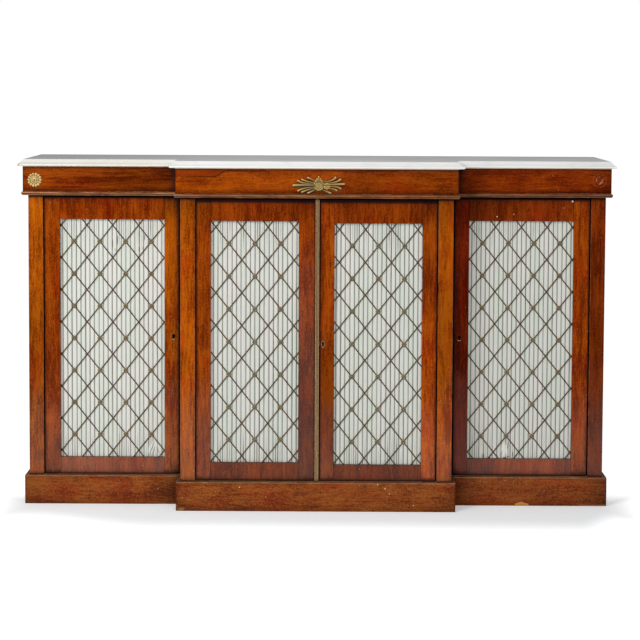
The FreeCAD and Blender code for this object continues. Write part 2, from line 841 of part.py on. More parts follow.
def centre_mount():
    """A spreading leaf mount: disc, crown, a long bar each way and curled leaves."""
    face = break_y - frieze_overhang
    y_front = face - mount_thickness
    length = mount_bar_length
    disc = facing_cylinder(0, 0, y_front, face, mount_disc_radius)
    boss = facing_cylinder(0, 0, y_front - mount_thickness / 2, face, mount_boss_radius)
    half = mount_bar_width / 2
    bar = Part.makePolygon([Vector(x, face, z) for x, z in (
        (-length, half), (0, half * 1.3), (length, half), (length, -half),
        (0, -half * 1.3), (-length, -half), (-length, half))])
    crown_half = mount_crown_height / 3
    crown = Part.makePolygon([Vector(x, face, z) for x, z in (
        (-crown_half, 0), (-crown_half, mount_crown_height * 0.8), (0, mount_crown_height),
        (crown_half, mount_crown_height * 0.8), (crown_half, 0), (-crown_half, 0))])
    forward = Vector(0, -mount_thickness, 0)
    parts = [disc, boss, Part.Face(bar).extrude(forward), Part.Face(crown).extrude(forward)]
    for leaf in mount_leaves:
        for side in (-1, 1):
            places = [(side * x * length, z * length) for x, z in leaf]
            parts.append(curved_leaf(*places, mount_leaf_width, y_front, face))
    mount = joined(parts)
    mount.rotate(Vector(0, 0, 0), Vector(0, 1, 0), -mount_tilt)
    mount.translate(Vector(mount_offset, 0, carcass_top - mount_drop))
    return mount


# ---- All pieces -------------------------------------------------------------------

def door_nodes(door):
    """The pieces of one door, by node name."""
    rails = door_rails(door)
    hinge_side, free_side = door.opening_x
    nodes = {
        "hinge_stile": [stile(door, door.hinge_x, hinge_side, rails, pivot_bores(door))],
        "rails": rails,
        "grille": [grille(door)],
        "silk": [silk_panel(door)],
        "silk_battens": silk_battens(door),
        "pivot_plates": door_pivot_plates(door),
    }
    if door is centre_left:
        cuts = [flush_bolt_channel(), bolt_plate_block(),
                bolt_pocket(centre_right, meeting_gap)]
        nodes["meeting_stile"] = [stile(door, free_side, door.free_x, rails, cuts)]
        nodes["astragal"] = [astragal()]
        nodes["bolt_plate"] = [bolt_plate()]
        nodes["flush_bolt"] = [flush_bolt()]
    else:
        trim, cuts = lock_parts(*locked_doors[door.name])
        nodes["lock_stile"] = [stile(door, free_side, door.free_x, rails, cuts)]
        nodes["lock"] = trim
        nodes["lock_bolt"] = [lock_bolt(door)]
    return {f"{door.name}_{piece}": solids for piece, solids in nodes.items()}


def all_nodes():
    bottom_cuts = Part.makeCompound(pivots)
    nodes = {
        "marble_top": [marble_top()],
        "left_end_panel": [end_panel(-1)],
        "right_end_panel": [end_panel(1)],
        "left_divider": [divider(-1)],
        "right_divider": [divider(1)],
        "bottom_boards": [board.cut(bottom_cuts) for board in bottoms],
        "top_boards": tops,
        "shelves": shelves,
        "back_boards": back_boards(),
        "left_outer_pilaster": [pilaster(-1, half_width, wing_y)],
        "left_inner_pilaster": [pilaster(-1, break_half, break_y)],
        "right_inner_pilaster": [pilaster(1, break_half, break_y)],
        "right_outer_pilaster": [pilaster(1, half_width, wing_y)],
        "frieze_moulding": frieze_moulding(),
        "carcass_pivots": pivots,
        "frieze_patera": [patera()],
        "centre_mount": [centre_mount()],
    }
    for section in section_runs:
        nodes[f"{section}_plinth"] = plinth(section)
        nodes[f"{section}_frieze"] = frieze(section)
    for door in doors:
        nodes.update(door_nodes(door))
    return nodes


def main():
    os.makedirs("parts", exist_ok=True)
    for name, solids in all_nodes().items():
        pieces = [solid for shape in solids for solid in shape.Solids]
        for piece in pieces:
            if not piece.isValid() or piece.Volume <= 0:
                raise ValueError(f"{name}: a solid isn't sound")
        whole = pieces[0] if len(pieces) == 1 else Part.makeCompound(pieces)
        whole.exportStep(f"parts/{name}.step")
        print(name, len(pieces), round(sum(piece.Volume for piece in pieces)))


main()
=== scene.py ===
import math

import bmesh
import bpy
from mathutils import Matrix, Vector
from mathutils.noise import noise as drift


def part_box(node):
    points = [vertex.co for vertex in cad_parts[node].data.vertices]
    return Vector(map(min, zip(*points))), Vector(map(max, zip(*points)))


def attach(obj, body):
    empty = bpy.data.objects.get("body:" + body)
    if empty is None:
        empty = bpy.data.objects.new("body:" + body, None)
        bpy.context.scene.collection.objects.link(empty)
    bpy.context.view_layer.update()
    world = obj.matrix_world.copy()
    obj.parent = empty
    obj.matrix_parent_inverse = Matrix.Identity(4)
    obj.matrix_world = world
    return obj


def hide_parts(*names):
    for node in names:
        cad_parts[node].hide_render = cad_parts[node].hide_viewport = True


# Breakfront side cabinet in faded rosewood: four doors with brass wirework over
# gathered silk, gilt mounts on the frieze and a white marble top. Metres, +Z up,
# the doors face -Y.

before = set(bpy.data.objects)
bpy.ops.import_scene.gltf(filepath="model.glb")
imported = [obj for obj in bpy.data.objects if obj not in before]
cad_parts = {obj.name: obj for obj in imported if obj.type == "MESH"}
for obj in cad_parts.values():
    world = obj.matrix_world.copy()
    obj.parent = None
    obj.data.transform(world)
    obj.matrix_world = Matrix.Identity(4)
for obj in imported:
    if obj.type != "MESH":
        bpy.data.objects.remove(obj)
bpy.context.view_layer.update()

MM = 0.001
DOORS = ("left_wing_door", "centre_left_door", "centre_right_door", "right_wing_door")


# ---- Camera, light and floor -------------------------------------------------

CAMERA_PLACE = (0.0150, -5.1050, 1.1450)
CAMERA_PITCH = 0.0658         # radians below level
CAMERA_ROLL = 0.00482
CAMERA_YAW = 0.00091
SENSOR = 36
VIEW_WIDTH = 640              # pixels, in which the next three are counted
LENS_FOCUS = 1867
LENS_RISE = 116               # from the lens's axis down to the middle of the view
LENS_SIDE = -0.93
LIGHT_AIM = Vector((0, -0.2, 0.45))


def placed(name, data):
    """A camera, a lamp or a mesh as an object in the scene."""
    made = bpy.data.objects.new(name, data)
    bpy.context.scene.collection.objects.link(made)
    return made


def place_camera():
    data = bpy.data.cameras.new("camera")
    data.sensor_width = SENSOR
    data.lens = LENS_FOCUS / VIEW_WIDTH * SENSOR
    data.shift_x = LENS_SIDE / VIEW_WIDTH
    data.shift_y = -LENS_RISE / VIEW_WIDTH
    data.clip_end = 200
    camera = placed("camera", data)
    camera.matrix_world = (
        Matrix.Translation(CAMERA_PLACE)
        @ Matrix.Rotation(CAMERA_YAW, 4, "Z")
        @ Matrix.Rotation(math.pi / 2 - CAMERA_PITCH, 4, "X")
        @ Matrix.Rotation(CAMERA_ROLL, 4, "Z"))
    bpy.context.scene.camera = camera


def softbox(name, side, rise, distance, width, height, level):
    """A soft lamp aimed at the cabinet. At level 1 it alone shows a colour as written."""
    data = bpy.data.lights.new(name, "AREA")
    data.shape = "RECTANGLE"
    data.size = width
    data.size_y = height
    data.energy = level * (math.pi * distance) ** 2
    side, rise = math.radians(side), math.radians(rise)
    towards = Vector((math.sin(side) * math.cos(rise), -math.cos(side) * math.cos(rise),
                      math.sin(rise)))
    lamp = placed(name, data)
    lamp.location = LIGHT_AIM + towards * distance
    lamp.rotation_euler = towards.to_track_quat("Z", "Y").to_euler()
    return lamp


# ---- Shader trees ------------------------------------------------------------

def shade(red, green, blue):
    """A colour written as a paint maker's 0-255 display values."""
    return tuple((v / 255 / 12.92 if v <= 10 else ((v / 255 + 0.055) / 1.055) ** 2.4)
                 for v in (red, green, blue)) + (1,)


def tinted(colour, red, green, blue):
    return (colour[0] * red, colour[1] * green, colour[2] * blue, 1)


class Tree:
    """A shader tree, built with one call for each node."""

    def __init__(self, tree):
        self.tree = tree

    def node(self, kind, sockets=None, **settings):
        node = self.tree.nodes.new("ShaderNode" + kind)
        for name, value in settings.items():
            setattr(node, name, value)
        for name, value in (sockets or {}).items():
            self.feed(node.inputs[name], value)
        return node

    def feed(self, socket, value):
        if isinstance(value, bpy.types.NodeSocket):
            self.tree.links.new(value, socket)
        else:
            socket.default_value = value

    def maths(self, operation, first, second=0, clamp=False):
        return self.node("Math", {0: first, 1: second}, operation=operation, use_clamp=clamp).outputs[0]

    def times(self, first, second, clamp=False):
        return self.maths("MULTIPLY", first, second, clamp)

    def plus(self, first, second):
        return self.maths("ADD", first, second)

    def minus(self, first, second):
        return self.maths("SUBTRACT", first, second)

    def most(self, first, second, clamp=False):
        return self.maths("MAXIMUM", first, second, clamp)

    def size(self, value):
        return self.maths("ABSOLUTE", value)

    def from_middle(self, noise):
        """How far a noise is from its middle value, whose lines wander like veins."""
        return self.size(self.minus(noise, 0.5))

    def vector(self, operation, first, second):
        return self.node("VectorMath", {0: first, 1: second}, operation=operation).outputs

    def stretched(self, place, factors):
        return self.vector("MULTIPLY", place, factors)[0]

    def scaled(self, vector, factor):
        return self.node("VectorMath", {0: vector, "Scale": factor}, operation="SCALE").outputs[0]

    def noise(self, place, detail=2, roughness=0.5, scale=1):
        return self.node("TexNoise", {"Vector": place, "Scale": scale, "Detail": detail,
                                      "Roughness": roughness}).outputs[0]

    def grain(self, place, factors, detail=2, roughness=0.5):
        """Noise, finer along an axis the larger its factor."""
        return self.noise(self.stretched(place, factors), detail, roughness)

    def ranged(self, value, low, high, to_low=0, to_high=1):
        return self.node("MapRange", {0: value, 1: low, 2: high, 3: to_low, 4: to_high},
                         interpolation_type="SMOOTHSTEP").outputs[0]

    def fading(self, value, low, high, share=1):
        """From that share at low down to nothing at high."""
        return self.ranged(value, low, high, share, 0)

    def mixed(self, factor, first, second, blend="MIX"):
        return self.node("Mix", {0: factor, 6: first, 7: second}, data_type="RGBA",
                         blend_type=blend).outputs[2]

    def layered(self, colour, *layers):
        """Tones laid over a colour one after the other, each a (mask, tone)."""
        for mask, tone in layers:
            colour = self.mixed(mask, colour, tone)
        return colour

    def apart(self, vector):
        return self.node("SeparateXYZ", {0: vector}).outputs

    def together(self, x, y, z):
        return self.node("CombineXYZ", {0: x, 1: y, 2: z}).outputs[0]

    def attribute(self, name):
        return self.node("Attribute", attribute_name=name).outputs["Fac"]

    def face_normal(self):
        return self.node("NewGeometry").outputs["Normal"]

    def group(self, made, **sockets):
        node = self.tree.nodes.new("ShaderNodeGroup")
        node.node_tree = made
        for name, value in sockets.items():
            self.feed(node.inputs[name], value)
        return node.outputs

    def upward(self):
        """How far a face looks up: 1 for a top, 0 for a wall, -1 for an underside."""
        return self.apart(self.face_normal())[2]

    def seen(self):
        """1 for what the eye, a gloss or a glass looks at, and 0 for what only lights."""
        path = self.node("LightPath").outputs
        seen = self.most(path["Is Camera Ray"], path["Is Glossy Ray"])
        return self.most(seen, path["Is Transmission Ray"])

    def coat(self, **sockets):
        """Feeds the surface's sockets, with _ for the spaces in their names."""
        for name, value in sockets.items():
            self.feed(self.surface.inputs[name.replace("_", " ")], value)

    def bump(self, height, strength, distance):
        return self.node("Bump", {"Height": height, "Strength": strength,
                                  "Distance": distance}).outputs[0]


MASK = {"Mask": "Float"}


def new_group(name, inputs, outputs=MASK):
    """An empty shader group with named sockets: (its tree, its inputs, its outputs)."""
    tree = bpy.data.node_groups.new(name, "ShaderNodeTree")
    for label, value in inputs.items():
        kind = {3: "Vector", 4: "Color"}[len(value)] if isinstance(value, tuple) else "Float"
        socket = tree.interface.new_socket(label, in_out="INPUT", socket_type="NodeSocket" + kind)
        socket.default_value = value
    for label, kind in outputs.items():
        tree.interface.new_socket(label, in_out="OUTPUT", socket_type="NodeSocket" + kind)
    entry = tree.nodes.new("NodeGroupInput")
    leave = tree.nodes.new("NodeGroupOutput")
    return Tree(tree), entry.outputs, leave.inputs


WHITE = (1, 1, 1, 1)
BLACK = (0, 0, 0, 1)
REDDENED = (1, 0.62, 0.7, 1)
NOWHERE = (0, 0, 0)


def veneer_group():
    """Rosewood veneer with its grain along Z: ribbons, streaks, dark veins and flecks."""
    t, given, result = new_group(
        "veneer",
        {"Place": NOWHERE, "Light": WHITE, "Middle": WHITE, "Dark": WHITE,
         "Ribbon": 1, "Streak": 1, "Cloud": 0.5, "Speck": 0.4, "Vein": 0.5, "Red": 0.75,
         "Seed": 0},
        {"Color": "Color", "Height": "Float"})
    shift = t.scaled((3.71, 5.13, 7.97), given["Seed"])
    seeded = t.vector("ADD", given["Place"], shift)[0]
    sway = t.times(t.minus(t.grain(seeded, (8, 8, 3)), 0.5), 0.03)
    bent = t.vector("ADD", seeded, t.together(sway, sway, 0))[0]
    depth = 0.5
    for scale, detail, rough, weight in (
            ((36, 36, 3.5), 2, 0.5, given["Ribbon"]),
            ((190, 190, 15), 3, 0.6, given["Streak"]),
            ((620, 620, 52), 2, 0.6, 0.9),
            ((26, 26, 13), 3, 0.6, 0.9),
            ((9, 9, 6), 1, 0.5, given["Cloud"]),
            ((300, 300, 230), 1, 0.6, given["Speck"])):
        part = t.minus(t.grain(bent, scale, detail, rough), 0.5)
        depth = t.plus(t.times(part, weight), depth)
    colour = t.mixed(t.ranged(depth, 0.15, 0.52), given["Dark"], given["Middle"])
    colour = t.mixed(t.ranged(depth, 0.48, 0.85), colour, given["Light"])
    red = t.ranged(t.grain(seeded, (19, 19, 8), 2, 0.6), 0.5, 0.68)
    red = t.times(red, given["Red"])
    colour = t.mixed(red, colour, REDDENED, "MULTIPLY")
    vein = t.fading(t.from_middle(t.grain(bent, (30, 30, 1.9), 2, 0.45)), 0, 0.016)
    patchy = t.ranged(t.grain(seeded, (16, 16, 3), 1), 0.5, 0.62)
    vein = t.times(t.times(vein, patchy), given["Vein"])
    hair = t.grain(bent, (420, 420, 50), 1)
    fleck = t.times(t.ranged(hair, 0.62, 0.72), 0.5)
    darker = t.most(vein, fleck)
    colour = t.mixed(darker, colour, t.mixed(0.4, given["Dark"], BLACK))
    t.feed(result["Color"], colour)
    t.feed(result["Height"], t.minus(hair, darker))
    return t.tree


def level_grain_group():
    """Turns the place so that the grain runs along a level board, round its corners too."""
    t, given, result = new_group("level_grain", {"Place": NOWHERE}, {"Place": "Vector"})
    x, y, z = t.apart(given["Place"])
    sideways = t.size(t.apart(t.face_normal())[0])
    end = t.maths("GREATER_THAN", sideways, 0.8)
    front = t.together(z, y, x)
    side = t.together(z, x, y)
    swap = t.node("Mix", {0: end, 4: front, 5: side}, data_type="VECTOR")
    t.feed(result["Place"], swap.outputs[1])
    return t.tree


def worn_edge_group():
    """Masks of the level and the upright arrises, broken where the polish has held."""
    t, given, result = new_group("worn_edge", {"Place": NOWHERE, "Reach": 0.0015},
                                 {"Level": "Float", "Upright": "Float"})
    rounded = t.node("Bevel", {"Radius": given["Reach"]}, samples=6).outputs[0]
    turn = t.apart(t.vector("SUBTRACT", rounded, t.face_normal())[0])
    broken = t.ranged(t.grain(given["Place"], (38, 38, 38), 4, 0.7), 0.38, 0.6)
    for name, share in (("Level", turn[2]), ("Upright", turn[0])):
        t.feed(result[name], t.times(t.ranged(t.size(share), 0.08, 0.42), broken))
    return t.tree


def shade_and_wax_group():
    """A mask of painted shade in corners and open joints, found by ambient occlusion, for their shade
    and the dark wax gathered there.
    """
    t, given, result = new_group("grime_and_shade", {"Reach": 0.035})
    open_air = t.node("AmbientOcclusion", {"Distance": given["Reach"]}, samples=8).outputs["AO"]
    t.feed(result["Mask"], t.fading(open_air, 0.46, 0.94))
    return t.tree


def border_group():
    """A mask of the dark polish left along the edges of a board's face."""
    t, given, result = new_group("border", {
        "Place": NOWHERE, "Low": NOWHERE, "High": NOWHERE, "Across": 0.01, "Up": 0.01})
    place = given["Place"]
    from_low = t.vector("SUBTRACT", place, given["Low"])[0]
    from_high = t.vector("SUBTRACT", given["High"], place)[0]
    near = t.apart(t.vector("MINIMUM", from_low, from_high)[0])
    facing = t.ranged(t.size(t.apart(t.face_normal())[1]), 0.5, 0.8)
    wander = t.ranged(t.grain(place, (60, 60, 60), 3, 0.65), 0.3, 0.7, 0.45, 1.25)
    sides = []
    for distance, reach in ((near[0], given["Across"]), (near[2], given["Up"])):
        share = t.maths("DIVIDE", distance, t.times(reach, wander))
        sides.append(t.fading(share, 0.1, 1))
    t.feed(result["Mask"], t.times(t.most(*sides), facing))
    return t.tree


def knocks_group():
    """A mask of small pale bruises, chips and thin scratches in the polish."""
    t, given, result = new_group("knocks", {"Place": NOWHERE, "Amount": 0.5, "Chips": 0})
    place = given["Place"]

    def scattered(scale, small, large, channel, few, many):
        """Dots in cells of that scale, some of the cells left out."""
        cells = t.node("TexVoronoi", {"Vector": place, "Scale": scale}).outputs
        dots = t.fading(cells["Distance"], small, large)
        return t.times(dots, t.ranged(t.apart(cells["Color"])[channel], few, many))

    dots = t.times(scattered(68, 0.04, 0.10, 0, 0.68, 0.95),
                   t.ranged(t.noise(place, 3, 0.6, 420), 0.42, 0.55))
    chip = t.times(scattered(31, 0.03, 0.065, 1, 0.82, 0.86), given["Chips"])
    ruled = t.from_middle(t.grain(place, (31, 31, 9), 0))
    scratches = t.times(t.fading(ruled, 0.0004, 0.0022, 0.5),
                        t.ranged(t.noise(place, 2, 0.5, 23), 0.62, 0.68))
    small = t.times(t.most(dots, scratches), given["Amount"], True)
    t.feed(result["Mask"], t.most(small, chip, True))
    return t.tree


def reflection_band_group():
    """A mask of the low band near the floor where a purplish haze is added to the colour as a painted
    reflection of the floor.
    """
    t, given, result = new_group("bloom", {"Place": NOWHERE, "Top": 0.42})
    height = t.apart(given["Place"])[2]
    wander = t.grain(given["Place"], (9, 9, 4), 3, 0.6)
    height = t.plus(height, t.times(t.minus(wander, 0.5), 0.5))
    low = t.minus(given["Top"], 0.32)
    t.feed(result["Mask"], t.fading(height, low, given["Top"]))
    return t.tree


VENEER = veneer_group()
LEVEL_GRAIN = level_grain_group()
WORN_EDGE = worn_edge_group()
SHADE_AND_WAX = shade_and_wax_group()
KNOCKS = knocks_group()
REFLECTION_BAND = reflection_band_group()
BORDER = border_group()


# ---- Finishes ----------------------------------------------------------------

def new_material(name):
    """A material, its tree, whose surface is the shader that coat feeds, and the place
    of a point on it."""
    material = bpy.data.materials.new(name)
    material.use_nodes = True
    t = Tree(material.node_tree)
    t.surface = material.node_tree.nodes["Principled BSDF"]
    return material, t, t.node("TexCoord").outputs["Object"]


RAW_WOOD = shade(206, 150, 100)
BRUISE = shade(226, 190, 160)
# Painted reflection: a haze added low on the boards, where the floor shows in the polish.
REFLECTED_FLOOR = (0.030, 0.042, 0.038, 1)

TONES = {
    "honey": shade(156, 73, 3),
    "amber": shade(150, 68, 3),
    "chestnut": shade(137, 56, 3),
    "brick": shade(122, 48, 4),
    "russet": shade(127, 49, 3),
    "cherry": shade(120, 42, 2),
    "wine": shade(107, 39, 4),
    "garnet": shade(100, 27, 3),
    "umber": shade(135, 69, 26),
    "peat": shade(124, 61, 24),
}

# Painted shade: the dark laid on the upright arrises of the friezes and the plinths, at their ends.
ARRIS_SHADE = shade(20, 6, 3)
POLISH = shade(60, 24, 14)

# Where a finish starts to change and where it has: three heights and an end.
PLINTH_ARRIS = (0.0745, 0.0762)
MOULDING_ARRIS = (0.8440, 0.8456)
MARBLE_FOOT = (0.9155, 0.9195)
MARBLE_LEFT_END = (-0.800, -0.788)


def rosewood(name, tone, seed, face, level=False, ribbon=1.1, streak=1.4, cloud=0.6,
             speck=0.9, vein=0.2, knocks=0.6, chipped=0.3, arris=RAW_WOOD, wear=0.9,
             bloom=0.5, bloom_top=0.39, dull=0, border=0.65, across=0.010, up=0.010,
             lid=0.006, sooty=0.93, glue=0, drifts=(), marks=None):
    """Polished veneer of one board. face is the low and high corner of what shows of it;
    lid is how far down from its top the painted shadow under the frieze or the marble
    reaches, sooty how dark its painted shade in corners and open joints is, and
    glue how pale the line of plaster along its top is."""
    material, t, place = new_material(name)
    middle = TONES[tone]
    along = t.group(LEVEL_GRAIN, Place=place)[0] if level else place
    veneer = t.group(VENEER, Place=along, Light=tinted(middle, 1.38, 1.6, 1.5),
                     Middle=middle, Dark=tinted(middle, 0.52, 0.42, 0.5), Ribbon=ribbon,
                     Streak=streak, Cloud=cloud, Speck=speck, Vein=vein, Seed=seed)
    # Painted reflection of the floor, added low on the board, where the polish is also a little
    # rougher.
    reflected = t.group(REFLECTION_BAND, Place=place, Top=bloom_top)["Mask"]
    colour = faded(t, place, veneer["Color"], drifts)
    colour = t.mixed(t.times(reflected, bloom), colour, REFLECTED_FLOOR, "ADD")
    if marks:
        colour = marks(t, place, colour)
    edge = t.group(BORDER, Place=place, Low=tuple(face[0]), High=tuple(face[1]),
                   Across=across, Up=up)["Mask"]
    colour = t.mixed(t.times(edge, border), colour, POLISH)
    edges = t.group(WORN_EDGE, Place=place, Reach=0.0022 if level else 0.0012)
    worn = t.times(edges["Upright"], wear)
    colour = t.mixed(worn, colour, arris)
    if level:
        level_wear = t.times(edges["Level"], wear)
        colour = t.mixed(level_wear, colour, RAW_WOOD)
        worn = t.most(worn, level_wear)
    knocked = t.group(KNOCKS, Place=place, Amount=knocks, Chips=chipped)["Mask"]
    colour = t.mixed(knocked, colour, BRUISE)
    top = face[1][2]
    height = t.apart(place)[2]
    # Painted shade: corners and open joints darkened by ambient occlusion, with their dark wax, and a
    # painted shadow along the top of the board where what stands over it overhangs.
    grime_and_shade = t.most(t.group(SHADE_AND_WAX)["Mask"], t.ranged(height, top - lid, top - 0.4 * lid))
    colour = t.mixed(t.times(grime_and_shade, sooty), colour, shade(14, 3, 1))
    if glue:
        line = t.ranged(height, top - 0.0024, top - 0.0012, 0, glue)
        colour = t.mixed(line, colour, shade(232, 206, 178))
    gloss = t.plus(t.times(reflected, 0.1), 0.16 + 0.34 * dull)
    rough = t.most(grime_and_shade, t.most(worn, knocked))
    t.coat(Base_Color=colour, Roughness=t.plus(gloss, t.times(rough, 0.3)),
           Specular_IOR_Level=0.14 * (1 - 0.5 * dull),
           Normal=t.bump(veneer["Height"], 0.1, 0.0003))
    return material


def faded(t, place, colour, drifts):
    """Slow changes of tone along a board: (axis, from, to, tone there, tone here)."""
    for axis, start, end, first, last in drifts:
        tone = t.ranged(t.apart(place)["xyz".index(axis)], start, end, first, last)
        colour = t.scaled(colour, tone)
    return colour


def distance_on_front(t, place, x, z):
    """How far a point of a front lies from the one at x, z, at whatever depth."""
    away = t.vector("SUBTRACT", t.stretched(place, (1, 0, 1)), (x, 0, z))[0]
    return t.vector("LENGTH", away, NOWHERE)[1]


def spot(t, place, x, z, radius):
    """A mask of one round spot on a front, its edge a little ragged."""
    ragged = t.times(t.noise(place, 3, 0.6, 1.2 / radius), radius * 0.8)
    distance = t.plus(distance_on_front(t, place, x, z), ragged)
    return t.fading(distance, radius * 1.1, radius * 1.4)


def lost_mount(t, place, colour):
    """The ring and the curls of old glue where a round mount is missing."""
    x, z, radius = 0.756, 0.882, 0.0175
    distance = distance_on_front(t, place, x, z)
    inside = t.fading(distance, radius - 0.001, radius + 0.0005)
    band = t.size(t.minus(distance, radius))
    worn = t.ranged(t.noise(place, 3, 0.6, 130), 0.4, 0.6, 0.1, 0.45)
    swirl = t.from_middle(t.noise(place, 1, 0.5, 150))
    curl = t.times(t.fading(swirl, 0, 0.05), t.fading(distance, 0.007, 0.0135))
    thick = t.ranged(t.noise(place, 2, 0.5, 90), 0.38, 0.55)
    return t.layered(
        colour,
        (t.times(inside, 0.35), shade(96, 30, 12)),
        (t.times(t.fading(band, 0.0005, 0.0017), worn), shade(172, 84, 50)),
        (t.times(curl, thick), shade(236, 176, 138)))


def curling_vein(t, place, colour):
    """A dark vein that climbs to the marble, with redder wood above it."""
    x, _, z = t.apart(place)
    wiggle = t.times(t.minus(t.noise(place, 3, 0.6, 60), 0.5), 0.006)
    above = t.minus(z, t.plus(t.ranged(x, -0.275, -0.235, 0.8925, 0.9085), wiggle))
    near = t.ranged(x, -0.15, -0.23)
    fading = t.ranged(x, -0.37, -0.27, 0.25, 0.9)
    line = t.fading(t.size(above), 0.0006, 0.0022)
    return t.layered(
        colour,
        (t.times(t.ranged(above, 0, 0.003), t.times(near, 0.5)), shade(122, 36, 6)),
        (t.times(line, t.times(fading, near)), shade(48, 18, 2)))


def chips(*places):
    """A maker of marks: chips of another colour at (x, z, radius, colour) on a front."""
    def chipped(t, place, colour):
        for x, z, radius, tone in places:
            colour = t.mixed(spot(t, place, x, z, radius), colour, tone)
        return colour
    return chipped


def rubbed_foot(start, end, height, splits=()):
    """A maker of marks for a plinth: its top arris rubbed pale, its foot rubbed to the
    bare wood between start and end, and golden splits at (x, z, radius)."""
    def rubbed(t, place, colour):
        x, _, z = t.apart(place)
        patchy = t.ranged(t.noise(place, 3, 0.6, 60), 0.35, 0.6, 0.25, 0.8)
        ragged = t.times(t.noise(place, 3, 0.6, 45), 1.2 * height)
        foot = t.fading(t.plus(z, ragged), height, 1.5 * height, 0.85)
        along = t.ranged(x, start, start + 0.02)
        if end < 0.7:
            along = t.times(along, t.fading(x, end - 0.01, end))
        colour = t.layered(
            colour,
            (t.times(t.ranged(z, *PLINTH_ARRIS), patchy), shade(150, 112, 84)),
            (t.times(foot, along), shade(168, 120, 74)))
        golden = chips(*((*split, shade(214, 150, 76)) for split in splits))
        return golden(t, place, colour)
    return rubbed


def moulding():
    """The bead under the frieze: rubbed pale on its upper side, which also serves as a painted
    highlight, painted near black beneath as painted shade, with knocks in it.
    """
    material, t, place = new_material("moulding_wood")
    veneer = t.group(VENEER, Place=t.group(LEVEL_GRAIN, Place=place)[0],
                     Light=shade(152, 98, 58), Middle=shade(124, 78, 44),
                     Dark=shade(90, 48, 22), Ribbon=1, Streak=1.7, Vein=0.2, Seed=41)
    upward = t.upward()
    rubbed = t.ranged(t.grain(place, (9, 30, 30), 4, 0.65), 0.4, 0.62)
    x, _, z = t.apart(place)
    bare = t.most(t.ranged(x, -0.34, -0.39, 0.12, 0.7), t.ranged(x, 0.34, 0.39, 0, 0.3))
    # Rubbed pale only where the bead looks up: wear that also serves as a painted highlight.
    pale = t.times(t.ranged(upward, -0.1, 0.5), t.plus(t.times(rubbed, bare), 0.04))
    colour = t.layered(
        veneer["Color"],
        (pale, shade(214, 160, 124)),
        (t.ranged(z, *MOULDING_ARRIS, 0, 0.8), shade(84, 34, 12)),
        # Painted shade: the underside is painted near black.
        (t.fading(upward, -0.7, -0.3, 0.9), shade(24, 12, 8)),
        (t.group(KNOCKS, Place=place, Amount=1)["Mask"], BRUISE))
    t.coat(Base_Color=colour, Roughness=t.ranged(pale, 0, 1, 0.4, 0.6),
           Specular_IOR_Level=0.15, Normal=t.bump(veneer["Height"], 0.15, 0.0004))
    return material


def marble():
    """White marble: its top painted grey as painted shade, darker towards the back and the left end and
    lighter towards the front, with streaks; the downward-facing parts of its moulded edge painted
    brighter as painted light; creamy along its moulded edge.
    """
    material, t, place = new_material("white_marble")
    x, y, z = t.apart(place)
    up = t.upward()
    upward = t.ranged(up, 0.6, 0.95)
    swirl = t.node("TexNoise", {"Vector": place, "Scale": 5, "Detail": 4}).outputs[1]
    swirled = t.vector("ADD", place, t.stretched(swirl, (0.12, 0.12, 0.12)))[0]
    cloud = t.grain(swirled, (4, 11, 11), 5, 0.6)
    line = t.from_middle(t.grain(swirled, (3, 7, 7), 3, 0.55))
    edge = t.layered(
        t.mixed(t.ranged(cloud, 0.3, 0.7), shade(230, 230, 226), shade(238, 238, 235)),
        (t.fading(x, -0.5, -0.3, 0.8), shade(226, 223, 211)),
        # Painted light: the downward-facing parts of the edge are painted near white.
        (t.fading(up, -0.4, 0), shade(254, 254, 251)),
        (t.times(t.fading(line, 0, 0.03), 0.22), shade(206, 207, 207)))
    # Painted shade: the top is painted grey, darker towards the back and the left end and lighter
    # towards the front, with streaks in it.
    shaded_streaks = t.ranged(t.grain(place, (5, 40, 1), 4, 0.6), 0.3, 0.7)
    top = t.layered(
        t.mixed(shaded_streaks, shade(216, 216, 218), shade(236, 236, 237)),
        (t.fading(y, -0.21, 0, 0.6), shade(246, 246, 245)),
        (t.fading(x, -0.75, -0.1, 0.85), shade(192, 192, 193)),
        (t.ranged(y, 0.14, 0.20, 0, 0.5), shade(186, 186, 188)))
    grime_and_shade = t.ranged(t.grain(place, (26, 26, 60), 4, 0.65), 0.5, 0.72)
    soiled = t.plus(t.times(grime_and_shade, 0.2), 0.78)
    handled = t.times(t.fading(x, *MARBLE_LEFT_END), t.fading(z, 0.918, 0.926, 0.8))
    colour = t.layered(
        edge,
        (t.times(upward, 0.92), top),
        (t.times(soiled, t.fading(z, *MARBLE_FOOT)), shade(222, 206, 180)),
        (handled, shade(176, 132, 96)))
    t.coat(Base_Color=colour, Roughness=t.plus(t.times(upward, 0.58), 0.42),
           Specular_IOR_Level=0.10,
           Normal=t.bump(t.noise(place, 4, 0.6, 90), 0.08, 0.001))
    return material


# What shows where the silk is torn: the dark behind it, painted on as painted shade, loose threads or
# the lining.
SLIT = shade(44, 50, 50)
SLACK = shade(222, 222, 212)
FRAY = shade(150, 136, 104)
MAUVE = shade(114, 110, 124)
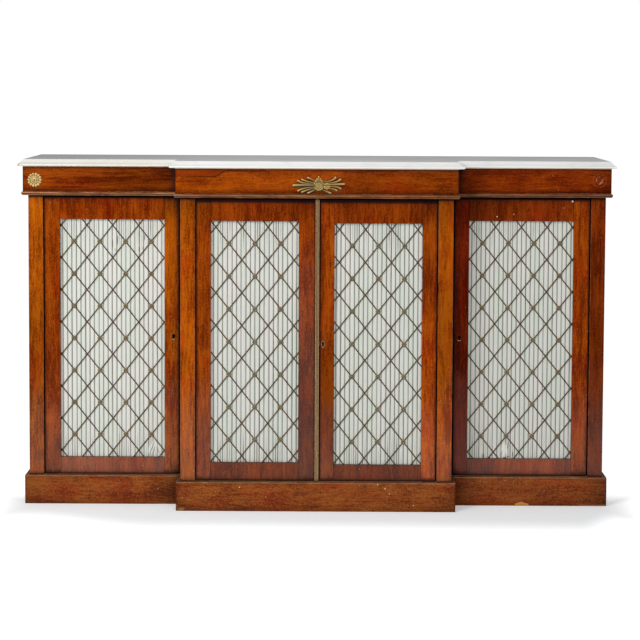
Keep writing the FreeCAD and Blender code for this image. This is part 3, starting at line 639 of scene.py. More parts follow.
# Of each: middle x and z, half width, half height, lean, depth of tone, colour.
SILK_TEARS = (
    (-0.5511, 0.7040, 0.0019, 0.0170, 0, 0.75, SLIT),
    (-0.5376, 0.7140, 0.0017, 0.0190, 0, 0.80, SLIT),
    (-0.5440, 0.6880, 0.0040, 0.0050, 0, 0.45, FRAY),
    (-0.4791, 0.7300, 0.0019, 0.0180, 0, 0.55, SLIT),
    (-0.4791, 0.6905, 0.0018, 0.0100, 0, 0.80, SLIT),
    (-0.4645, 0.7215, 0.0017, 0.0110, 0, 0.80, SLIT),
    (-0.4690, 0.6925, 0.0034, 0.0055, 0, 0.50, FRAY),
    (-0.4440, 0.1480, 0.0150, 0.0240, 0.35, 0.80, SLACK),
    (-0.4455, 0.1470, 0.0020, 0.0260, 0.40, 0.80, MAUVE),
    (-0.4407, 0.1400, 0.0019, 0.0180, 0.26, 0.85, MAUVE),
    (-0.4265, 0.1385, 0.0016, 0.0130, -0.57, 0.70, MAUVE),
    (-0.4863, 0.1275, 0.0060, 0.0050, 0, 0.45, FRAY),
    (0.5115, 0.1480, 0.0115, 0.0230, 0, 0.85, SLACK),
    (0.5213, 0.1600, 0.0018, 0.0150, 0.10, 0.75, SLIT),
    (0.5045, 0.1385, 0.0013, 0.0110, 0.30, 0.50, SLIT),
    (0.5340, 0.1350, 0.0018, 0.0120, 0, 0.85, SLIT),
    (0.5125, 0.1255, 0.0062, 0.0028, 0, 0.85, SLIT),
    (0.5215, 0.1290, 0.0030, 0.0036, 0.9, 0.85, SLIT),
    (0.4545, 0.1300, 0.0050, 0.0110, 0, 0.45, SLIT),
)


def torn(t, place, colour):
    """The frayed places of the silk: slits and slack threads, each a leaning ellipse."""
    for x, z, half_wide, half_tall, lean, share, tone in SILK_TEARS:
        off = t.vector("SUBTRACT", place, (x, 0, z))[0]
        leaning = (1 / half_wide, 0, -lean / half_wide)
        beside = t.vector("DOT_PRODUCT", off, leaning)[1]
        above = t.vector("DOT_PRODUCT", off, (0, 0, 1 / half_tall))[1]
        far = t.vector("LENGTH", t.together(beside, 0, above), NOWHERE)[1]
        colour = t.mixed(t.fading(far, 0.45, 1, share), colour, tone)
    return colour


def silk():
    """Old cream silk, painted grey in its tucks as painted shade with some grime, with a fine upright
    weave.
    """
    material, t, place = new_material("gathered_silk")
    worn = t.ranged(t.grain(place, (45, 45, 2.5), 3, 0.6), 0.35, 0.65)
    soil = t.ranged(t.noise(place, 4, 0.6, 22), 0.55, 0.75)
    # The tucks are painted grey: painted shade with some grime.
    colour = t.layered(
        t.mixed(worn, shade(208, 213, 201), shade(217, 215, 208)),
        (t.maths("POWER", t.attribute("tuck"), 0.8), shade(70, 68, 58)),
        (t.times(soil, 0.12), shade(190, 178, 150)))
    toward_right = t.ranged(t.apart(place)[0], -0.45, -0.25)
    colour = t.mixed(toward_right, colour, shade(246, 246, 246), "MULTIPLY")
    threads = t.grain(place, (2600, 2600, 300))
    t.coat(Base_Color=torn(t, place, colour), Roughness=0.6, Specular_IOR_Level=0.2,
           Sheen_Weight=0.15, Normal=t.bump(threads, 0.15, 0.0002))
    return material


def metal(name, bright, dark, roughness, metallic, crevice=0.004, let_in=False, top_light=0,
          patchy=0.5, keyhole=None):
    """Old metal: bright where it is rubbed, dark in its hollows. let_in is let into wood;
    top_light is how far its undersides are painted darker, as painted shade, and its upper
    sides lighter, as a painted highlight, and patchy how much the patches of its patina differ.
    keyhole is the face of the door, the height of the keyhole's foot, and the colours of its
    rim and foot; the faces deep in the keyhole that look out to the front are painted near
    black as painted shade."""
    material, t, place = new_material(name)
    hollow = t.node("AmbientOcclusion", {"Distance": crevice}, samples=6,
                    only_local=not let_in).outputs["AO"]
    patina = t.ranged(t.noise(place, 3, 0.7, 240), 0.35, 0.65)
    clean = t.times(t.ranged(hollow, 0.45, 0.95), t.plus(t.times(patina, patchy), 1 - patchy))
    colour = t.mixed(clean, dark, bright)
    if top_light:
        # Painted shade on the undersides and a painted highlight on the upper sides, and the marked
        # hollows darker.
        upward = t.upward()
        colour = t.layered(
            colour,
            (t.fading(upward, -0.5, 0, top_light), dark),
            (t.ranged(upward, 0.05, 0.5, 0, 0.9 * top_light), tinted(bright, 1.5, 1.45, 1.6)),
            (t.attribute("hollow"), dark))
    if keyhole:
        face, low, rim, foot = keyhole
        _, y, z = t.apart(place)
        # Painted shade: the faces deep in the keyhole that look out to the front are painted near
        # black.
        facing = t.fading(t.apart(t.face_normal())[1], -0.8, -0.5)
        rim = t.mixed(t.fading(z, low, low + 0.0010), rim, foot)
        colour = t.layered(
            colour,
            (facing, shade(3, 1, 1)),
            (t.fading(y, face + 0.0018, face + 0.0026), rim))
        t.coat(Specular_IOR_Level=0.1)
    t.coat(Base_Color=colour, Metallic=metallic,
           Roughness=t.ranged(clean, 0, 1, roughness + 0.2, roughness),
           Normal=t.bump(t.noise(place, 3, 0.6, 900), 0.12, 0.0003))
    return material


def deal():
    """Plain deal, browned with age, its grain along X."""
    material, t, place = new_material("browned_deal")
    light, dark = shade(204, 154, 102), shade(150, 100, 60)
    middle = tuple((a + b) / 2 for a, b in zip(light, dark))
    veneer = t.group(VENEER, Place=t.group(LEVEL_GRAIN, Place=place)[0], Light=light,
                     Middle=middle, Dark=dark, Ribbon=0.7, Streak=0.7, Speck=0.2,
                     Vein=0.3, Red=0.15, Seed=51)
    worn = t.times(t.group(WORN_EDGE, Place=place)["Level"], 0.4)
    t.coat(Base_Color=t.mixed(worn, veneer["Color"], shade(204, 170, 124)), Roughness=0.75,
           Specular_IOR_Level=0.2, Normal=t.bump(veneer["Height"], 0.25, 0.0006))
    return material


# ---- Floor and backdrop ------------------------------------------------------

def sheet_of(name, size, turned=Matrix()):
    """A square sheet of that half size, level at the origin unless it is turned."""
    bm = bmesh.new()
    bmesh.ops.create_grid(bm, x_segments=1, y_segments=1, size=size)
    bm.transform(turned)
    return finished(bm, name)


def floor_and_world():
    """A floor that glows white but for a painted shadow round the cabinet's foot, where it glows less,
    and a white sky.
    """
    floor = sheet_of("studio_floor", 30)
    material, t, place = new_material("pale_floor")
    x, y, _ = t.apart(place)
    # Painted shadow: the floor glows less in a patch in front of the cabinet's foot.
    ends = t.most(t.fading(x, -0.76, -0.42, 0.12), t.ranged(x, 0.68, 0.80, 0, 0.13))
    ahead = t.fading(t.minus(y, ends), -0.51, -0.27)
    beside = t.ranged(t.size(x), 0.76, 0.92)
    behind = t.ranged(y, -0.12, 0.05)
    clear = t.most(ahead, t.most(beside, behind))
    glow = t.plus(t.times(clear, 0.50), 0.30)
    t.coat(Base_Color=shade(227, 231, 234), Roughness=1, Specular_IOR_Level=0,
           Emission_Color=WHITE, Emission_Strength=t.times(t.seen(), glow))
    floor.data.materials.append(material)

    world = bpy.data.worlds.new("studio")
    bpy.context.scene.world = world
    world.use_nodes = True
    t = Tree(world.node_tree)
    t.surface = world.node_tree.nodes["Background"]
    t.coat(Color=WHITE, Strength=t.plus(t.times(t.seen(), 0.70), 0.30))


def dark_card():
    """A dark card facing the doors, seen only in their polish."""
    card = sheet_of("dark_card", 4, Matrix.Translation((0, -1.5, 3.95))
                    @ Matrix.Rotation(math.pi / 2, 4, "X"))
    material, t, _ = new_material("dark_cloth")
    t.coat(Base_Color=shade(30, 26, 24), Roughness=1)
    card.data.materials.append(material)
    card.visible_camera = False
    card.visible_diffuse = False
    card.visible_shadow = False


# ---- Making pieces -----------------------------------------------------------

def finished(bm, name, smooth=False, sharp=None):
    """The bmesh as an object of that name, its place in its mesh. Its faces are shaded
    smooth into each other, but not where they meet at more than the sharp angle."""
    mesh = bpy.data.meshes.new(name)
    bm.to_mesh(mesh)
    bm.free()
    if smooth:
        mesh.shade_smooth()
    if sharp:
        mesh.set_sharp_from_angle(angle=math.radians(sharp))
    return placed(name, mesh)


def fitted(piece, body, material, node):
    """Gives a piece its finish and its body, and hides the plain solid it stands for."""
    piece.data.materials.append(material)
    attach(piece, body)
    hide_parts(node)


# Silk. The first pleat's width and the others', in millimetres, as each door was filled.
PLEATS = {"left_wing_door": (13.4, 12.16), "centre_left_door": (14.2, 12.30),
          "centre_right_door": (12.9, 12.09), "right_wing_door": (15.9, 12.18)}
TUCK_DEPTH = 2.2 * MM
SILK_THICKNESS = 0.25 * MM
PLEAT_STEPS = (0, 0.04, 0.1, 0.22, 0.36, 0.46, 0.54, 0.66, 0.84, 0.95)
SILK_ROWS = 60
SILK_INSET = 0.35 * MM
PLEAT_SWELL = 0.45 * MM
RIPPLE = 0.25 * MM
PUCKER = 0.4 * MM
PUCKER_REACH = 42 * MM        # from the battens, as are the next two
CREASE_PLACE = 20 * MM
CREASE_REACH = 45 * MM


def bell(distance, width):
    return math.exp(-((distance / width) ** 2))


def gathered_silk(door, number):
    """Silk gathered on its battens: full pleats with sharp tucks between them."""
    low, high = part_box(f"{door}_silk")
    height = high.z - low.z
    first, pitch = (size * MM for size in PLEATS[door])
    pleats = math.ceil((high.x - low.x - first) / pitch) + 1
    steps = len(PLEAT_STEPS)
    columns = pleats * steps

    def chance(index, row, scale):
        return drift(Vector((index * 7.3 + 0.4, number * 31.7 + row, scale)))

    def line(index, z):
        """Where the tuck before that pleat crosses the height z."""
        if index == 0:
            return low.x
        if index >= pleats:
            return high.x
        lean = 0.07 * chance(index, 1.3, z * 5) + 0.08 * chance(index, 4.6, 2.5)
        return low.x + first + (index - 1 + lean) * pitch

    bm = bmesh.new()
    bmesh.ops.create_grid(bm, x_segments=columns, y_segments=SILK_ROWS, size=0.5)
    tuck_layer = bm.verts.layers.float.new("tuck")
    front = low.y + SILK_INSET
    for vert in bm.verts:
        pleat, step = divmod(round((vert.co.x + 0.5) * columns), steps)
        share = PLEAT_STEPS[step]
        z = low.z + (vert.co.y + 0.5) * height
        left, right = line(pleat, z), line(pleat + 1, z)
        x = left + (right - left) * share
        end = min(z - low.z, high.z - z)
        loose = bell(end, PUCKER_REACH)
        which = pleat if share < 0.5 else pleat + 1
        deep = min(max(0.85 + 0.35 * chance(which, 9.7, z * 3.5), 0.45), 1.1)
        skew = 1 + 0.5 * chance(pleat, 3.3, 9.1)
        tuck = deep * bell(min(share, (1 - share) * skew), 0.075)
        reach = (1.2 * max(0, chance(pleat, 6.1, 1)) + 0.3 * max(0, chance(pleat, 8.2, z * 30)))
        crease = (min(1, 2.2 * reach * bell(end - CREASE_PLACE, CREASE_REACH))
                  * bell(share - 0.5, 0.09))
        swell = PLEAT_SWELL * (1 - (2 * share - 1) ** 2)
        ripple = drift(Vector((x * 90, number * 5, z * 12)))
        pucker = drift(Vector((x * 420, number * 8, z * 60)))
        y = (front + TUCK_DEPTH * max(tuck, 0.5 * crease) - swell + ripple * RIPPLE
             + pucker * PUCKER * loose)
        vert.co = (x, min(max(y, low.y), high.y - SILK_THICKNESS), z)
        # How dark the silk is painted here: painted shade with some grime in the tucks and creases.
        vert[tuck_layer] = min(1, max(tuck, 0.8 * crease))
    bmesh.ops.recalc_face_normals(bm, faces=bm.faces)
    bm.normal_update()
    cloth = sum(face.calc_area() for face in bm.faces)
    piece = finished(bm, f"{door}_pleated_silk", smooth=True)
    solid = piece.modifiers.new("thickness", "SOLIDIFY")
    solid.thickness = SILK_THICKNESS
    solid.offset = 0
    fitted(piece, door, SILK, f"{door}_silk")


# Wirework
LATTICE_ACROSS = 69.3 * MM
LATTICE_UP = 87.5 * MM
WIRE_WIDTH = 3.2 * MM
WIRE_THICKNESS = 1.2 * MM
WIRE_SIDES = 10
ROSETTE_PROUD = 1.4 * MM
ROSETTE_SEAT = 0.6 * MM       # how far behind the wires' front a rosette starts
ROSETTE_RADIUS = 6.8 * MM
ROSETTE_PETALS = 6
RIM_WIDTH = 5 * MM
RIM_EASE = 0.3 * MM


def clipped(place, slope, half_wide, half_high):
    """The two heights between which a leaning line stays inside an upright window."""
    at_left, at_right = sorted(((-half_wide - place) / slope, (half_wide - place) / slope))
    return max(at_left, -half_high), min(at_right, half_high)


def skin(bm, loops):
    """Faces from each loop of corners to the next, and one over each end, all outward."""
    for first, second in zip(loops, loops[1:]):
        for index in range(len(first)):
            bm.faces.new((first[index - 1], first[index], second[index], second[index - 1]))
    bm.faces.new(loops[0])
    bm.faces.new(loops[-1])
    bmesh.ops.recalc_face_normals(bm, faces=bm.faces)


def hollow_layer(bm):
    """The layer that tells a metal finish how dark each corner's hollow is."""
    return bm.verts.layers.float.get("hollow") or bm.verts.layers.float.new("hollow")


def rings(bm, centre, heights, sides, radius_at):
    """Joins rings round -Y from the outside in. Each is its share of the way in, how many
    millimetres it and then its lobes stand out, and how dark its hollow is. lobed makes
    what radius_at is."""
    hollow = hollow_layer(bm)
    loops = []
    for share, proud, wave, dark in heights:
        made = [bm.verts.new() for _ in range(sides)]
        for index, vert in enumerate(made):
            angle = 2 * math.pi * index / sides
            radius, lobe = radius_at(share, angle)
            vert.co = (centre[0] + radius * math.cos(angle),
                       centre[1] - proud * MM - wave * MM * lobe,
                       centre[2] + radius * math.sin(angle))
            vert[hollow] = dark * (1 - lobe)
        loops.append(made)
    skin(bm, loops)


def lobed(radius, petals, notch, reach=3, power=1, plain_from=1):
    """For rings: the radius and the lobe at a share of the way in and an angle. Notches
    of that depth part the petals and end 1 / reach of the way in."""
    def at(share, angle):
        if share > plain_from:
            return radius * (1 - share), 0
        lobe = abs(math.cos(petals * angle / 2)) ** power
        edge = 1 - notch * (1 - lobe) * max(0, 1 - reach * share)
        return radius * (1 - share) * edge, lobe
    return at


ROSETTE_RINGS = (
    (0, 0, 0, 0.5), (0.03, 0.6, 0, 0.4), (0.28, 1.5, 0.7, 0.5), (0.55, 1.3, 0.2, 0.6),
    (0.68, 1.1, 0, 0.7), (0.80, 2.5, 0, 0), (0.93, 2.8, 0, 0),
)


def rosette_mesh():
    """A six-petalled boss that covers a crossing of two wires, facing -Y at the origin."""
    bm = bmesh.new()
    rings(bm, NOWHERE, ROSETTE_RINGS, ROSETTE_PETALS * 4,
          lobed(ROSETTE_RADIUS, ROSETTE_PETALS, 0.13, reach=1))
    mesh = bpy.data.meshes.new("rosette")
    bm.to_mesh(mesh)
    bm.free()
    return mesh


def wirework(door, rosette):
    """Round wires crossing in two layers inside a rim, a rosette on every other crossing."""
    low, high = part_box(f"{door}_grille")
    front = low.y + ROSETTE_PROUD
    middle = (low + high) / 2
    half_wide, half_high = (high.x - low.x) / 2, (high.z - low.z) / 2
    columns = math.floor((2 * half_wide - 2 * RIM_WIDTH) / LATTICE_ACROSS)
    shift = LATTICE_ACROSS / 2 if columns % 2 == 0 else 0
    slope = LATTICE_ACROSS / LATTICE_UP
    count = math.ceil((half_wide + half_high * slope) / LATTICE_ACROSS)
    bm = bmesh.new()
    for layer, turn in ((0.5, 1), (1.5, -1)):
        for step in range(-count, count + 1):
            place = shift + step * LATTICE_ACROSS
            bottom, top = clipped(place, turn * slope, half_wide - RIM_WIDTH / 2,
                                  half_high - RIM_WIDTH / 2)
            if top - bottom < RIM_WIDTH:
                continue
            centre = Vector((middle.x + place + turn * slope * (bottom + top) / 2,
                             front + layer * WIRE_THICKNESS, middle.z + (bottom + top) / 2))
            bmesh.ops.create_cone(
                bm, segments=WIRE_SIDES, radius1=WIRE_WIDTH / 2, radius2=WIRE_WIDTH / 2,
                depth=(top - bottom) * math.hypot(1, slope), cap_ends=True,
                matrix=Matrix.Translation(centre)
                @ Matrix.Rotation(turn * math.atan(slope), 4, "Y")
                @ Matrix.Diagonal((1, 1.15 * WIRE_THICKNESS / WIRE_WIDTH, 1, 1)))
    for side in (-1, 1):
        board(bm, (middle.x + side * (half_wide - RIM_WIDTH / 2), front + WIRE_THICKNESS,
                   middle.z), (RIM_WIDTH, 2 * WIRE_THICKNESS, 2 * half_high), RIM_EASE)
        board(bm, (middle.x, front + WIRE_THICKNESS, middle.z
                   + side * (half_high - RIM_WIDTH / 2)),
              (2 * (half_wide - RIM_WIDTH), 2 * WIRE_THICKNESS, RIM_WIDTH), RIM_EASE)
    piece = finished(bm, f"{door}_wirework", True, 50)
    fitted(piece, door, BRONZED_WIRE, f"{door}_grille")

    bm = bmesh.new()
    rows = math.floor(half_high / LATTICE_UP)
    for row in range(-rows, rows + 1):
        for column in range(-columns, columns + 1):
            x = shift + column * LATTICE_ACROSS
            if abs(x) < half_wide - RIM_WIDTH - 2 * ROSETTE_RADIUS:
                crossing = Matrix.Translation((middle.x + x, front + ROSETTE_SEAT,
                                               middle.z + row * LATTICE_UP))
                rosette.transform(crossing)
                bm.from_mesh(rosette)
                rosette.transform(crossing.inverted())
    piece = finished(bm, f"{door}_rosettes", True, 50)
    fitted(piece, door, RUBBED_BRONZE, f"{door}_grille")


def board(bm, centre, size, ease):
    """A block with softened edges."""
    made = bmesh.ops.create_cube(bm, size=1, matrix=Matrix.Translation(centre)
                                 @ Matrix.Diagonal((*size, 1)))["verts"]
    edges = {edge for vert in made for edge in vert.link_edges}
    bmesh.ops.bevel(bm, geom=list(edges), offset=ease, affect="EDGES", segments=2,
                    profile=0.5, material=-1)


# Gilt mounts
PATERA_PETALS = 14
PATERA_RINGS = (
    (0, 0, 0, 0.4), (0.015, 0.9, 0.3, 0.4), (0.10, 1.7, 1.1, 0.3), (0.24, 1.6, 1.1, 0.3),
    (0.34, 1.5, 0.5, 0.6), (0.40, 1.3, 0.1, 2.2), (0.46, 1.9, 0.2, 2.2), (0.50, 2.3, 0, 0),
    (0.58, 2.3, 0, 0), (0.62, 1.7, 0, 0.5), (0.66, 1.8, 0.6, 0.8), (0.72, 2.4, 0.4, 0.6),
    (0.76, 3.2, 0, 0), (0.84, 3.6, 0, 0), (0.90, 3.2, 0, 0.7), (0.95, 2.2, 0, 1),
)


def patera():
    """A round gilt flower with a ring and a boss in its middle."""
    low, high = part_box("frieze_patera")
    radius = (high.z - low.z) / 2 + 0.6 * MM
    bm = bmesh.new()
    centre = ((low.x + high.x) / 2, high.y, (low.z + high.z) / 2)
    rings(bm, centre, PATERA_RINGS, PATERA_PETALS * 8,
          lobed(radius, PATERA_PETALS, 0.13, power=0.6, plain_from=0.88))
    fitted(finished(bm, "gilt_patera", True, 55), "carcass", CREAM_GILT,
           "frieze_patera")


MOUNT_HEIGHT = 870 * MM

# Leaves of the centre mount, in millimetres from its middle: root, bend and tip.
LEAVES = (
    ((-9, 9), (-18, 15.5), (-29, 20)), ((-10, 7.5), (-29, 10), (-44, 15.5)),
    ((-11, 4.5), (-38, 6), (-55, 12)), ((-11, -4), (-38, -8), (-53.5, -14.5)),
    ((-10, -6), (-29, -12), (-43.5, -17.5)), ((-9, -9), (-17, -15), (-27.5, -20)),
    ((9, 9), (33, 13), (44, 21)), ((11, 6), (42, 8.5), (57, 16)),
    ((11, -3), (44, -3.5), (57.5, -8.5)), ((10, -6), (36, -9), (46.5, -13.5)),
    ((7, -10), (19, -15), (30.5, -20.5)),
)
BARS = (((-10, 0), (-40, 0.5), (-66.5, -0.5)), ((11, 1), (40, 2.5), (66.5, 3.5)))
CROWN = (((0, 8), (0, 15), (0, 23)), ((-3, 8), (-4, 13), (-4.5, 17.5)),
         ((3, 8), (4, 13), (4.5, 17.5)), ((-6, 7), (-7.5, 10), (-8.5, 13)),
         ((6, 7), (7.5, 10), (8.5, 13)))
LEAF_STEPS = 10
LEAF_SIDES = 8


def leaf(bm, centre, route, root, tip, proud):
    """A raised leaf along a curved route, swelling towards a rounded tip."""
    hollow = hollow_layer(bm)
    start, bend, end = (Vector((x * MM, 0, z * MM)) for x, z in route)
    control = 2 * bend - (start + end) / 2
    loops = []
    for step in range(LEAF_STEPS + 3):
        share = min(step / LEAF_STEPS, 1)
        point = ((1 - share) ** 2 * start + 2 * share * (1 - share) * control + share ** 2 * end)
        ahead = (1 - share) * (control - start) + share * (end - control)
        ahead.normalize()
        across = Vector((-ahead.z, 0, ahead.x))
        size = root + (tip - root) * share ** 1.6
        if step > LEAF_STEPS:
            past = (step - LEAF_STEPS) / 2.6
            point = point + ahead * tip * past
            size = tip * math.sqrt(max(0, 1 - past * past))
        made = [bm.verts.new() for _ in range(LEAF_SIDES)]
        for index, vert in enumerate(made):
            angle = 2 * math.pi * index / LEAF_SIDES
            lift = max(0, math.sin(angle)) ** 0.8
            vert.co = (centre + point + across * size * math.cos(angle)
                       + Vector((0, -proud * lift * size / tip, 0)))
            vert[hollow] = 0.7 * (1 - share) ** 0.7
        loops.append(made)
    skin(bm, loops)


DISC_RINGS = (
    (0, 0, 0, 0.8), (0.02, 2.4, 0.3, 0.6), (0.10, 3, 0.4, 0.3), (0.26, 2.6, 0.4, 0.6),
    (0.30, 2.2, 0, 0.9), (0.36, 2.9, 0, 0.4), (0.56, 2.9, 0, 0.5), (0.68, 2.9, 0, 0.5),
    (0.74, 2.8, 0, 1.2), (0.84, 2.8, 0, 1.4), (0.90, 3, 0, 0), (0.96, 3, 0, 0),
)
DISC_RADIUS = 14.4 * MM
SMALL_DISC_RINGS = (
    (0, 0, 0, 0.8), (0.04, 3.4, 0.3, 0.7), (0.20, 4, 0.3, 0.4), (0.50, 4, 0, 0.5),
    (0.62, 3.9, 0, 1.2), (0.74, 3.9, 0, 1.2), (0.84, 4.1, 0, 0.2), (0.94, 4.2, 0, 0),
)
SMALL_DISC_RADIUS = 9.4 * MM
SMALL_DISC_PLACE = Vector((21.8 * MM, 0, -1.8 * MM))


def centre_mount():
    """A spreading gilt mount: a ringed disc with a crown, bars and curled leaves."""
    low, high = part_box("centre_mount")
    centre = Vector(((low.x + high.x) / 2, high.y, MOUNT_HEIGHT))
    bm = bmesh.new()
    for routes, root, tip, proud in ((LEAVES, 2.2, 3.1, 3.8), (BARS, 3.9, 3.5, 4.2),
                                     (CROWN, 3.1, 2.4, 3.4)):
        for route in routes:
            leaf(bm, centre, route, root * MM, tip * MM, proud * MM)
    rings(bm, centre, DISC_RINGS, 96, lobed(DISC_RADIUS, 16, 0.06))
    rings(bm, centre + SMALL_DISC_PLACE, SMALL_DISC_RINGS, 48, lobed(SMALL_DISC_RADIUS, 8, 0.06))
    fitted(finished(bm, "gilt_centre_mount", True, 55), "carcass", GILT,
           "centre_mount")


# ---- Dressing the cabinet ----------------------------------------------------

# The silk, the metals, and each keyhole's face, foot, rim colour and foot colour.
SILK = silk()
BRONZED_WIRE = metal("bronzed_wire", shade(94, 70, 36), shade(26, 19, 9), 0.5, 0.35)
RUBBED_BRONZE = metal("rubbed_bronze", shade(158, 140, 104), shade(56, 48, 33), 0.45, 0.45,
                      0.003, top_light=0.5)
GILT = metal("old_gilt", shade(187, 154, 85), shade(34, 22, 0), 0.5, 0.1, 0.003,
             top_light=0.95, patchy=0.2)
CREAM_GILT = metal("cream_gilt", shade(224, 190, 118), shade(70, 48, 8), 0.45, 0.15, 0.003,
                   top_light=0.5)
BRASS = metal("worn_brass", shade(188, 150, 104), shade(10, 6, 4), 0.42, 0.4, 0.008,
              let_in=True)
IRON = metal("lock_iron", shade(110, 104, 96), shade(52, 44, 38), 0.5, 0.8)
WING_KEYHOLE = (-0.0997, 0.4482, shade(58, 34, 16), shade(206, 164, 124))
CENTRE_KEYHOLE = (-0.1804, 0.4400, shade(126, 100, 68), shade(140, 116, 82))

# Each board's tone, its seed and how its tone drifts: axis, from, to, there and here.
PILASTERS = {
    "left_outer": ("honey", 1, (("z", 0.50, 0.66, 0.74, 1.06), ("z", 0.12, 0.26, 1.2, 1))),
    "left_inner": ("amber", 2, (("z", 0.10, 0.20, 0.78, 1), ("z", 0.74, 0.80, 1.05, 0.72))),
    "right_inner": ("amber", 3, (
        ("z", 0.24, 0.38, 1.2, 0.76), ("z", 0.56, 0.66, 1, 1.25),
        ("z", 0.74, 0.80, 1, 0.72), ("z", 0.09, 0.18, 0.74, 1))),
    "right_outer": ("wine", 4, (("z", 0.42, 0.66, 0.82, 1.12),)),
}
STILES = {
    "left_wing_door_hinge": ("chestnut", 5, (("z", 0.15, 0.24, 0.74, 1),)),
    "left_wing_door_lock": ("amber", 6, (
        ("z", 0.42, 0.62, 0.86, 1.1), ("z", 0.74, 0.81, 1, 0.52))),
    "centre_left_door_hinge": ("chestnut", 8, (
        ("z", 0.12, 0.34, 0.82, 0.95), ("z", 0.72, 0.80, 1, 0.7))),
    "centre_left_door_meeting": ("russet", 9, (
        ("z", 0.10, 0.70, 0.48, 1.1), ("z", 0.72, 0.80, 1, 0.66))),
    "centre_right_door_lock": ("chestnut", 11, (("z", 0.28, 0.60, 0.58, 1.05),)),
    "centre_right_door_hinge": ("chestnut", 13, (
        ("z", 0.42, 0.60, 1.3, 0.96), ("z", 0.74, 0.80, 1, 0.58))),
    "right_wing_door_lock": ("garnet", 14, (("z", 0.40, 0.64, 1.02, 1.3),)),
    "right_wing_door_hinge": ("chestnut", 16, (("z", 0.14, 0.26, 0.86, 1.05),)),
}
RIGHT_OF_OPENING = ("left_wing_door_lock", "centre_left_door_meeting",
                    "centre_right_door_hinge", "right_wing_door_hinge")
JOINED = 0.02                 # how far polish runs on over the joint of rail and stile

# Then how much painted reflection of the floor the rails take, or the streak and ribbon of friezes, and
# other marks last.
RAILS = {
    "left_wing": ("russet", 7, 1.15, (
        ("z", 0.2, 0.7, 0.95, 1.1), ("x", -0.46, -0.41, 1, 0.80)), None),
    "centre_left": ("russet", 10, 0.35, (
        ("z", 0.2, 0.7, 0.74, 0.95), ("x", -0.10, -0.03, 1, 0.8)), None),
    "centre_right": ("russet", 12, 0.35, (("z", 0.2, 0.7, 0.58, 0.92),), None),
    "right_wing": ("wine", 15, 0.8, (
        ("z", 0.2, 0.7, 1.26, 1.1), ("x", 0.44, 0.53, 0.66, 1.06)), chips(
            (0.6865, 0.8255, 0.0030, shade(236, 232, 226)),
            (0.4840, 0.7835, 0.0016, shade(226, 200, 180)),
            (0.5290, 0.7900, 0.0012, shade(220, 190, 170)))),
}
FRIEZES = {
    "left": ("brick", 21, 1.9, 0.9, (("x", -0.76, -0.42, 1.1, 0.66),), None),
    "centre": ("chestnut", 22, 0.8, 0.9, (("x", 0.04, 0.12, 1, 0.78),), curling_vein),
    "right": ("cherry", 23, 0.9, 1.2, (
        ("x", 0.40, 0.52, 0.9, 1.08), ("x", 0.71, 0.785, 1, 0.8)), lost_mount),
}
UNDER_MOULDING = (("z", 0.847, 0.862, 0.4, 1),)
PLINTHS = {
    "left": ("umber", 31, (
        ("x", -0.78, -0.68, 0.74, 0.92), ("x", -0.48, -0.37, 1, 0.62)),
        rubbed_foot(-0.445, -0.365, 0.0045)),
    "centre": ("umber", 32, (
        ("x", -0.36, -0.28, 0.8, 0.92), ("x", 0.30, 0.37, 1, 0.84)),
        rubbed_foot(-0.38, -0.345, 0.0125)),
    "right": ("peat", 33, (
        ("x", 0.38, 0.46, 0.8, 1), ("x", 0.70, 0.785, 1, 0.6)),
        rubbed_foot(0.700, 0.79, 0.0055, (
            (0.5430, 0.0036, 0.0042), (0.5500, 0.0050, 0.0055), (0.5580, 0.0056, 0.0060),
            (0.5660, 0.0046, 0.0050), (0.5730, 0.0034, 0.0042)))),
}


def dress(node, material):
    """A node that keeps its own solid takes its finish."""
    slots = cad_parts[node].data.materials
    slots.clear()
    slots.append(material)


def veneered(node, tone, seed, face=None, **look):
    """Dresses a node in a veneer of its own; face is what shows of it, if not all."""
    dress(node, rosewood(f"{node}_veneer", tone, seed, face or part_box(node), **look))


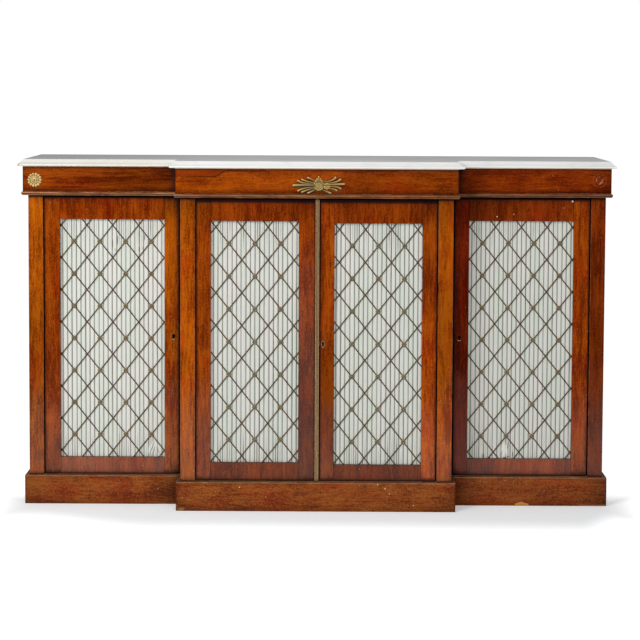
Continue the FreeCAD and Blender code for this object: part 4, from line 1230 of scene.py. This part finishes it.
def dress_fronts():
    for name, (tone, seed, drifts) in PILASTERS.items():
        veneered(f"{name}_pilaster", tone, seed, cloud=0.9, border=0.4, across=0.004,
                 up=0.004, lid=0.009, drifts=drifts)
    for name, (tone, seed, drifts) in STILES.items():
        low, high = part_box(f"{name}_stile")
        if "meeting" in name:
            high.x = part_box("centre_left_door_astragal")[0].x
        if name in RIGHT_OF_OPENING:
            low.x -= JOINED
        else:
            high.x += JOINED
        veneered(f"{name}_stile", tone, seed, (low, high), wear=0, cloud=0.8,
                 across=0.008, up=0.018, border=0.75, arris=ARRIS_SHADE,
                 bloom_top=0.74 if "meeting" in name else 0.39,
                 lid=0.007 if "wing" in name else 0.015, drifts=drifts)
    for name, (tone, seed, bloom, drifts, marks) in RAILS.items():
        low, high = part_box(f"{name}_door_rails")
        low.x, high.x = low.x - JOINED, high.x + JOINED
        veneered(f"{name}_door_rails", tone, seed, (low, high), wear=0, across=0.0015,
                 up=0.007, arris=ARRIS_SHADE, bloom=bloom, lid=0.007 if "wing" in name else 0.015,
                 drifts=drifts, marks=marks)
    for name, (tone, seed, streak, ribbon, drifts, marks) in FRIEZES.items():
        low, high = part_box(f"{name}_frieze")
        if name == "left":
            high.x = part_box("centre_frieze")[0].x
        veneered(f"{name}_frieze", tone, seed, (low, high), level=True, ribbon=ribbon,
                 streak=streak, cloud=1, vein=0.5, bloom=0, wear=0.5, arris=ARRIS_SHADE,
                 border=0.7, across=0.006, up=0.007, lid=0.0042, glue=0.95,
                 drifts=drifts + UNDER_MOULDING, marks=marks)
    for name, (tone, seed, drifts, marks) in PLINTHS.items():
        veneered(f"{name}_plinth", tone, seed, level=True, ribbon=0.7, streak=0.9,
                 cloud=0.4, speck=1.3, knocks=0.9, chipped=1, bloom=0, dull=0.6,
                 arris=ARRIS_SHADE, border=0.5, across=0.008, up=0.003, lid=0.0001, sooty=0.4,
                 drifts=drifts, marks=marks)


def dress_rest():
    dress("frieze_moulding", moulding())
    dress("marble_top", marble())
    bare = deal()
    for node in ("bottom_boards", "top_boards", "shelves", "back_boards"):
        dress(node, bare)
    for side, seed in (("left", 52), ("right", 53)):
        veneered(f"{side}_end_panel", "chestnut", 17, border=0, across=0.001, up=0.001)
        divider = f"{side}_divider"
        dress(divider, rosewood(f"{divider}_wood", "chestnut", seed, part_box(divider), border=0))
    dress("carcass_pivots", BRASS)
    for door in DOORS:
        dress(f"{door}_silk_battens", bare)
        dress(f"{door}_pivot_plates", BRASS)
        if door != "centre_left_door":
            keyhole = WING_KEYHOLE if "wing" in door else CENTRE_KEYHOLE
            dress(f"{door}_lock", metal(f"{door}_lock_brass", shade(176, 140, 94),
                                        shade(10, 6, 4), 0.5, 0.1, 0.008, let_in=True,
                                        keyhole=keyhole))
            dress(f"{door}_lock_bolt", IRON)
    for piece in ("astragal", "bolt_plate", "flush_bolt"):
        dress(f"centre_left_door_{piece}", BRASS)


place_camera()
softbox("key_softbox", side=-36, rise=26, distance=4.2, width=1.5, height=1.5, level=0.50)
fill = softbox("fill_softbox", side=8, rise=14, distance=4.6, width=2.4, height=1.8,
               level=0.36)
fill.visible_glossy = False
floor_and_world()
dark_card()
dress_fronts()
dress_rest()
rosette = rosette_mesh()
for number, door in enumerate(DOORS):
    gathered_silk(door, number)
    wirework(door, rosette)
patera()
centre_mount()

scene = bpy.context.scene
scene.view_settings.view_transform = "Standard"
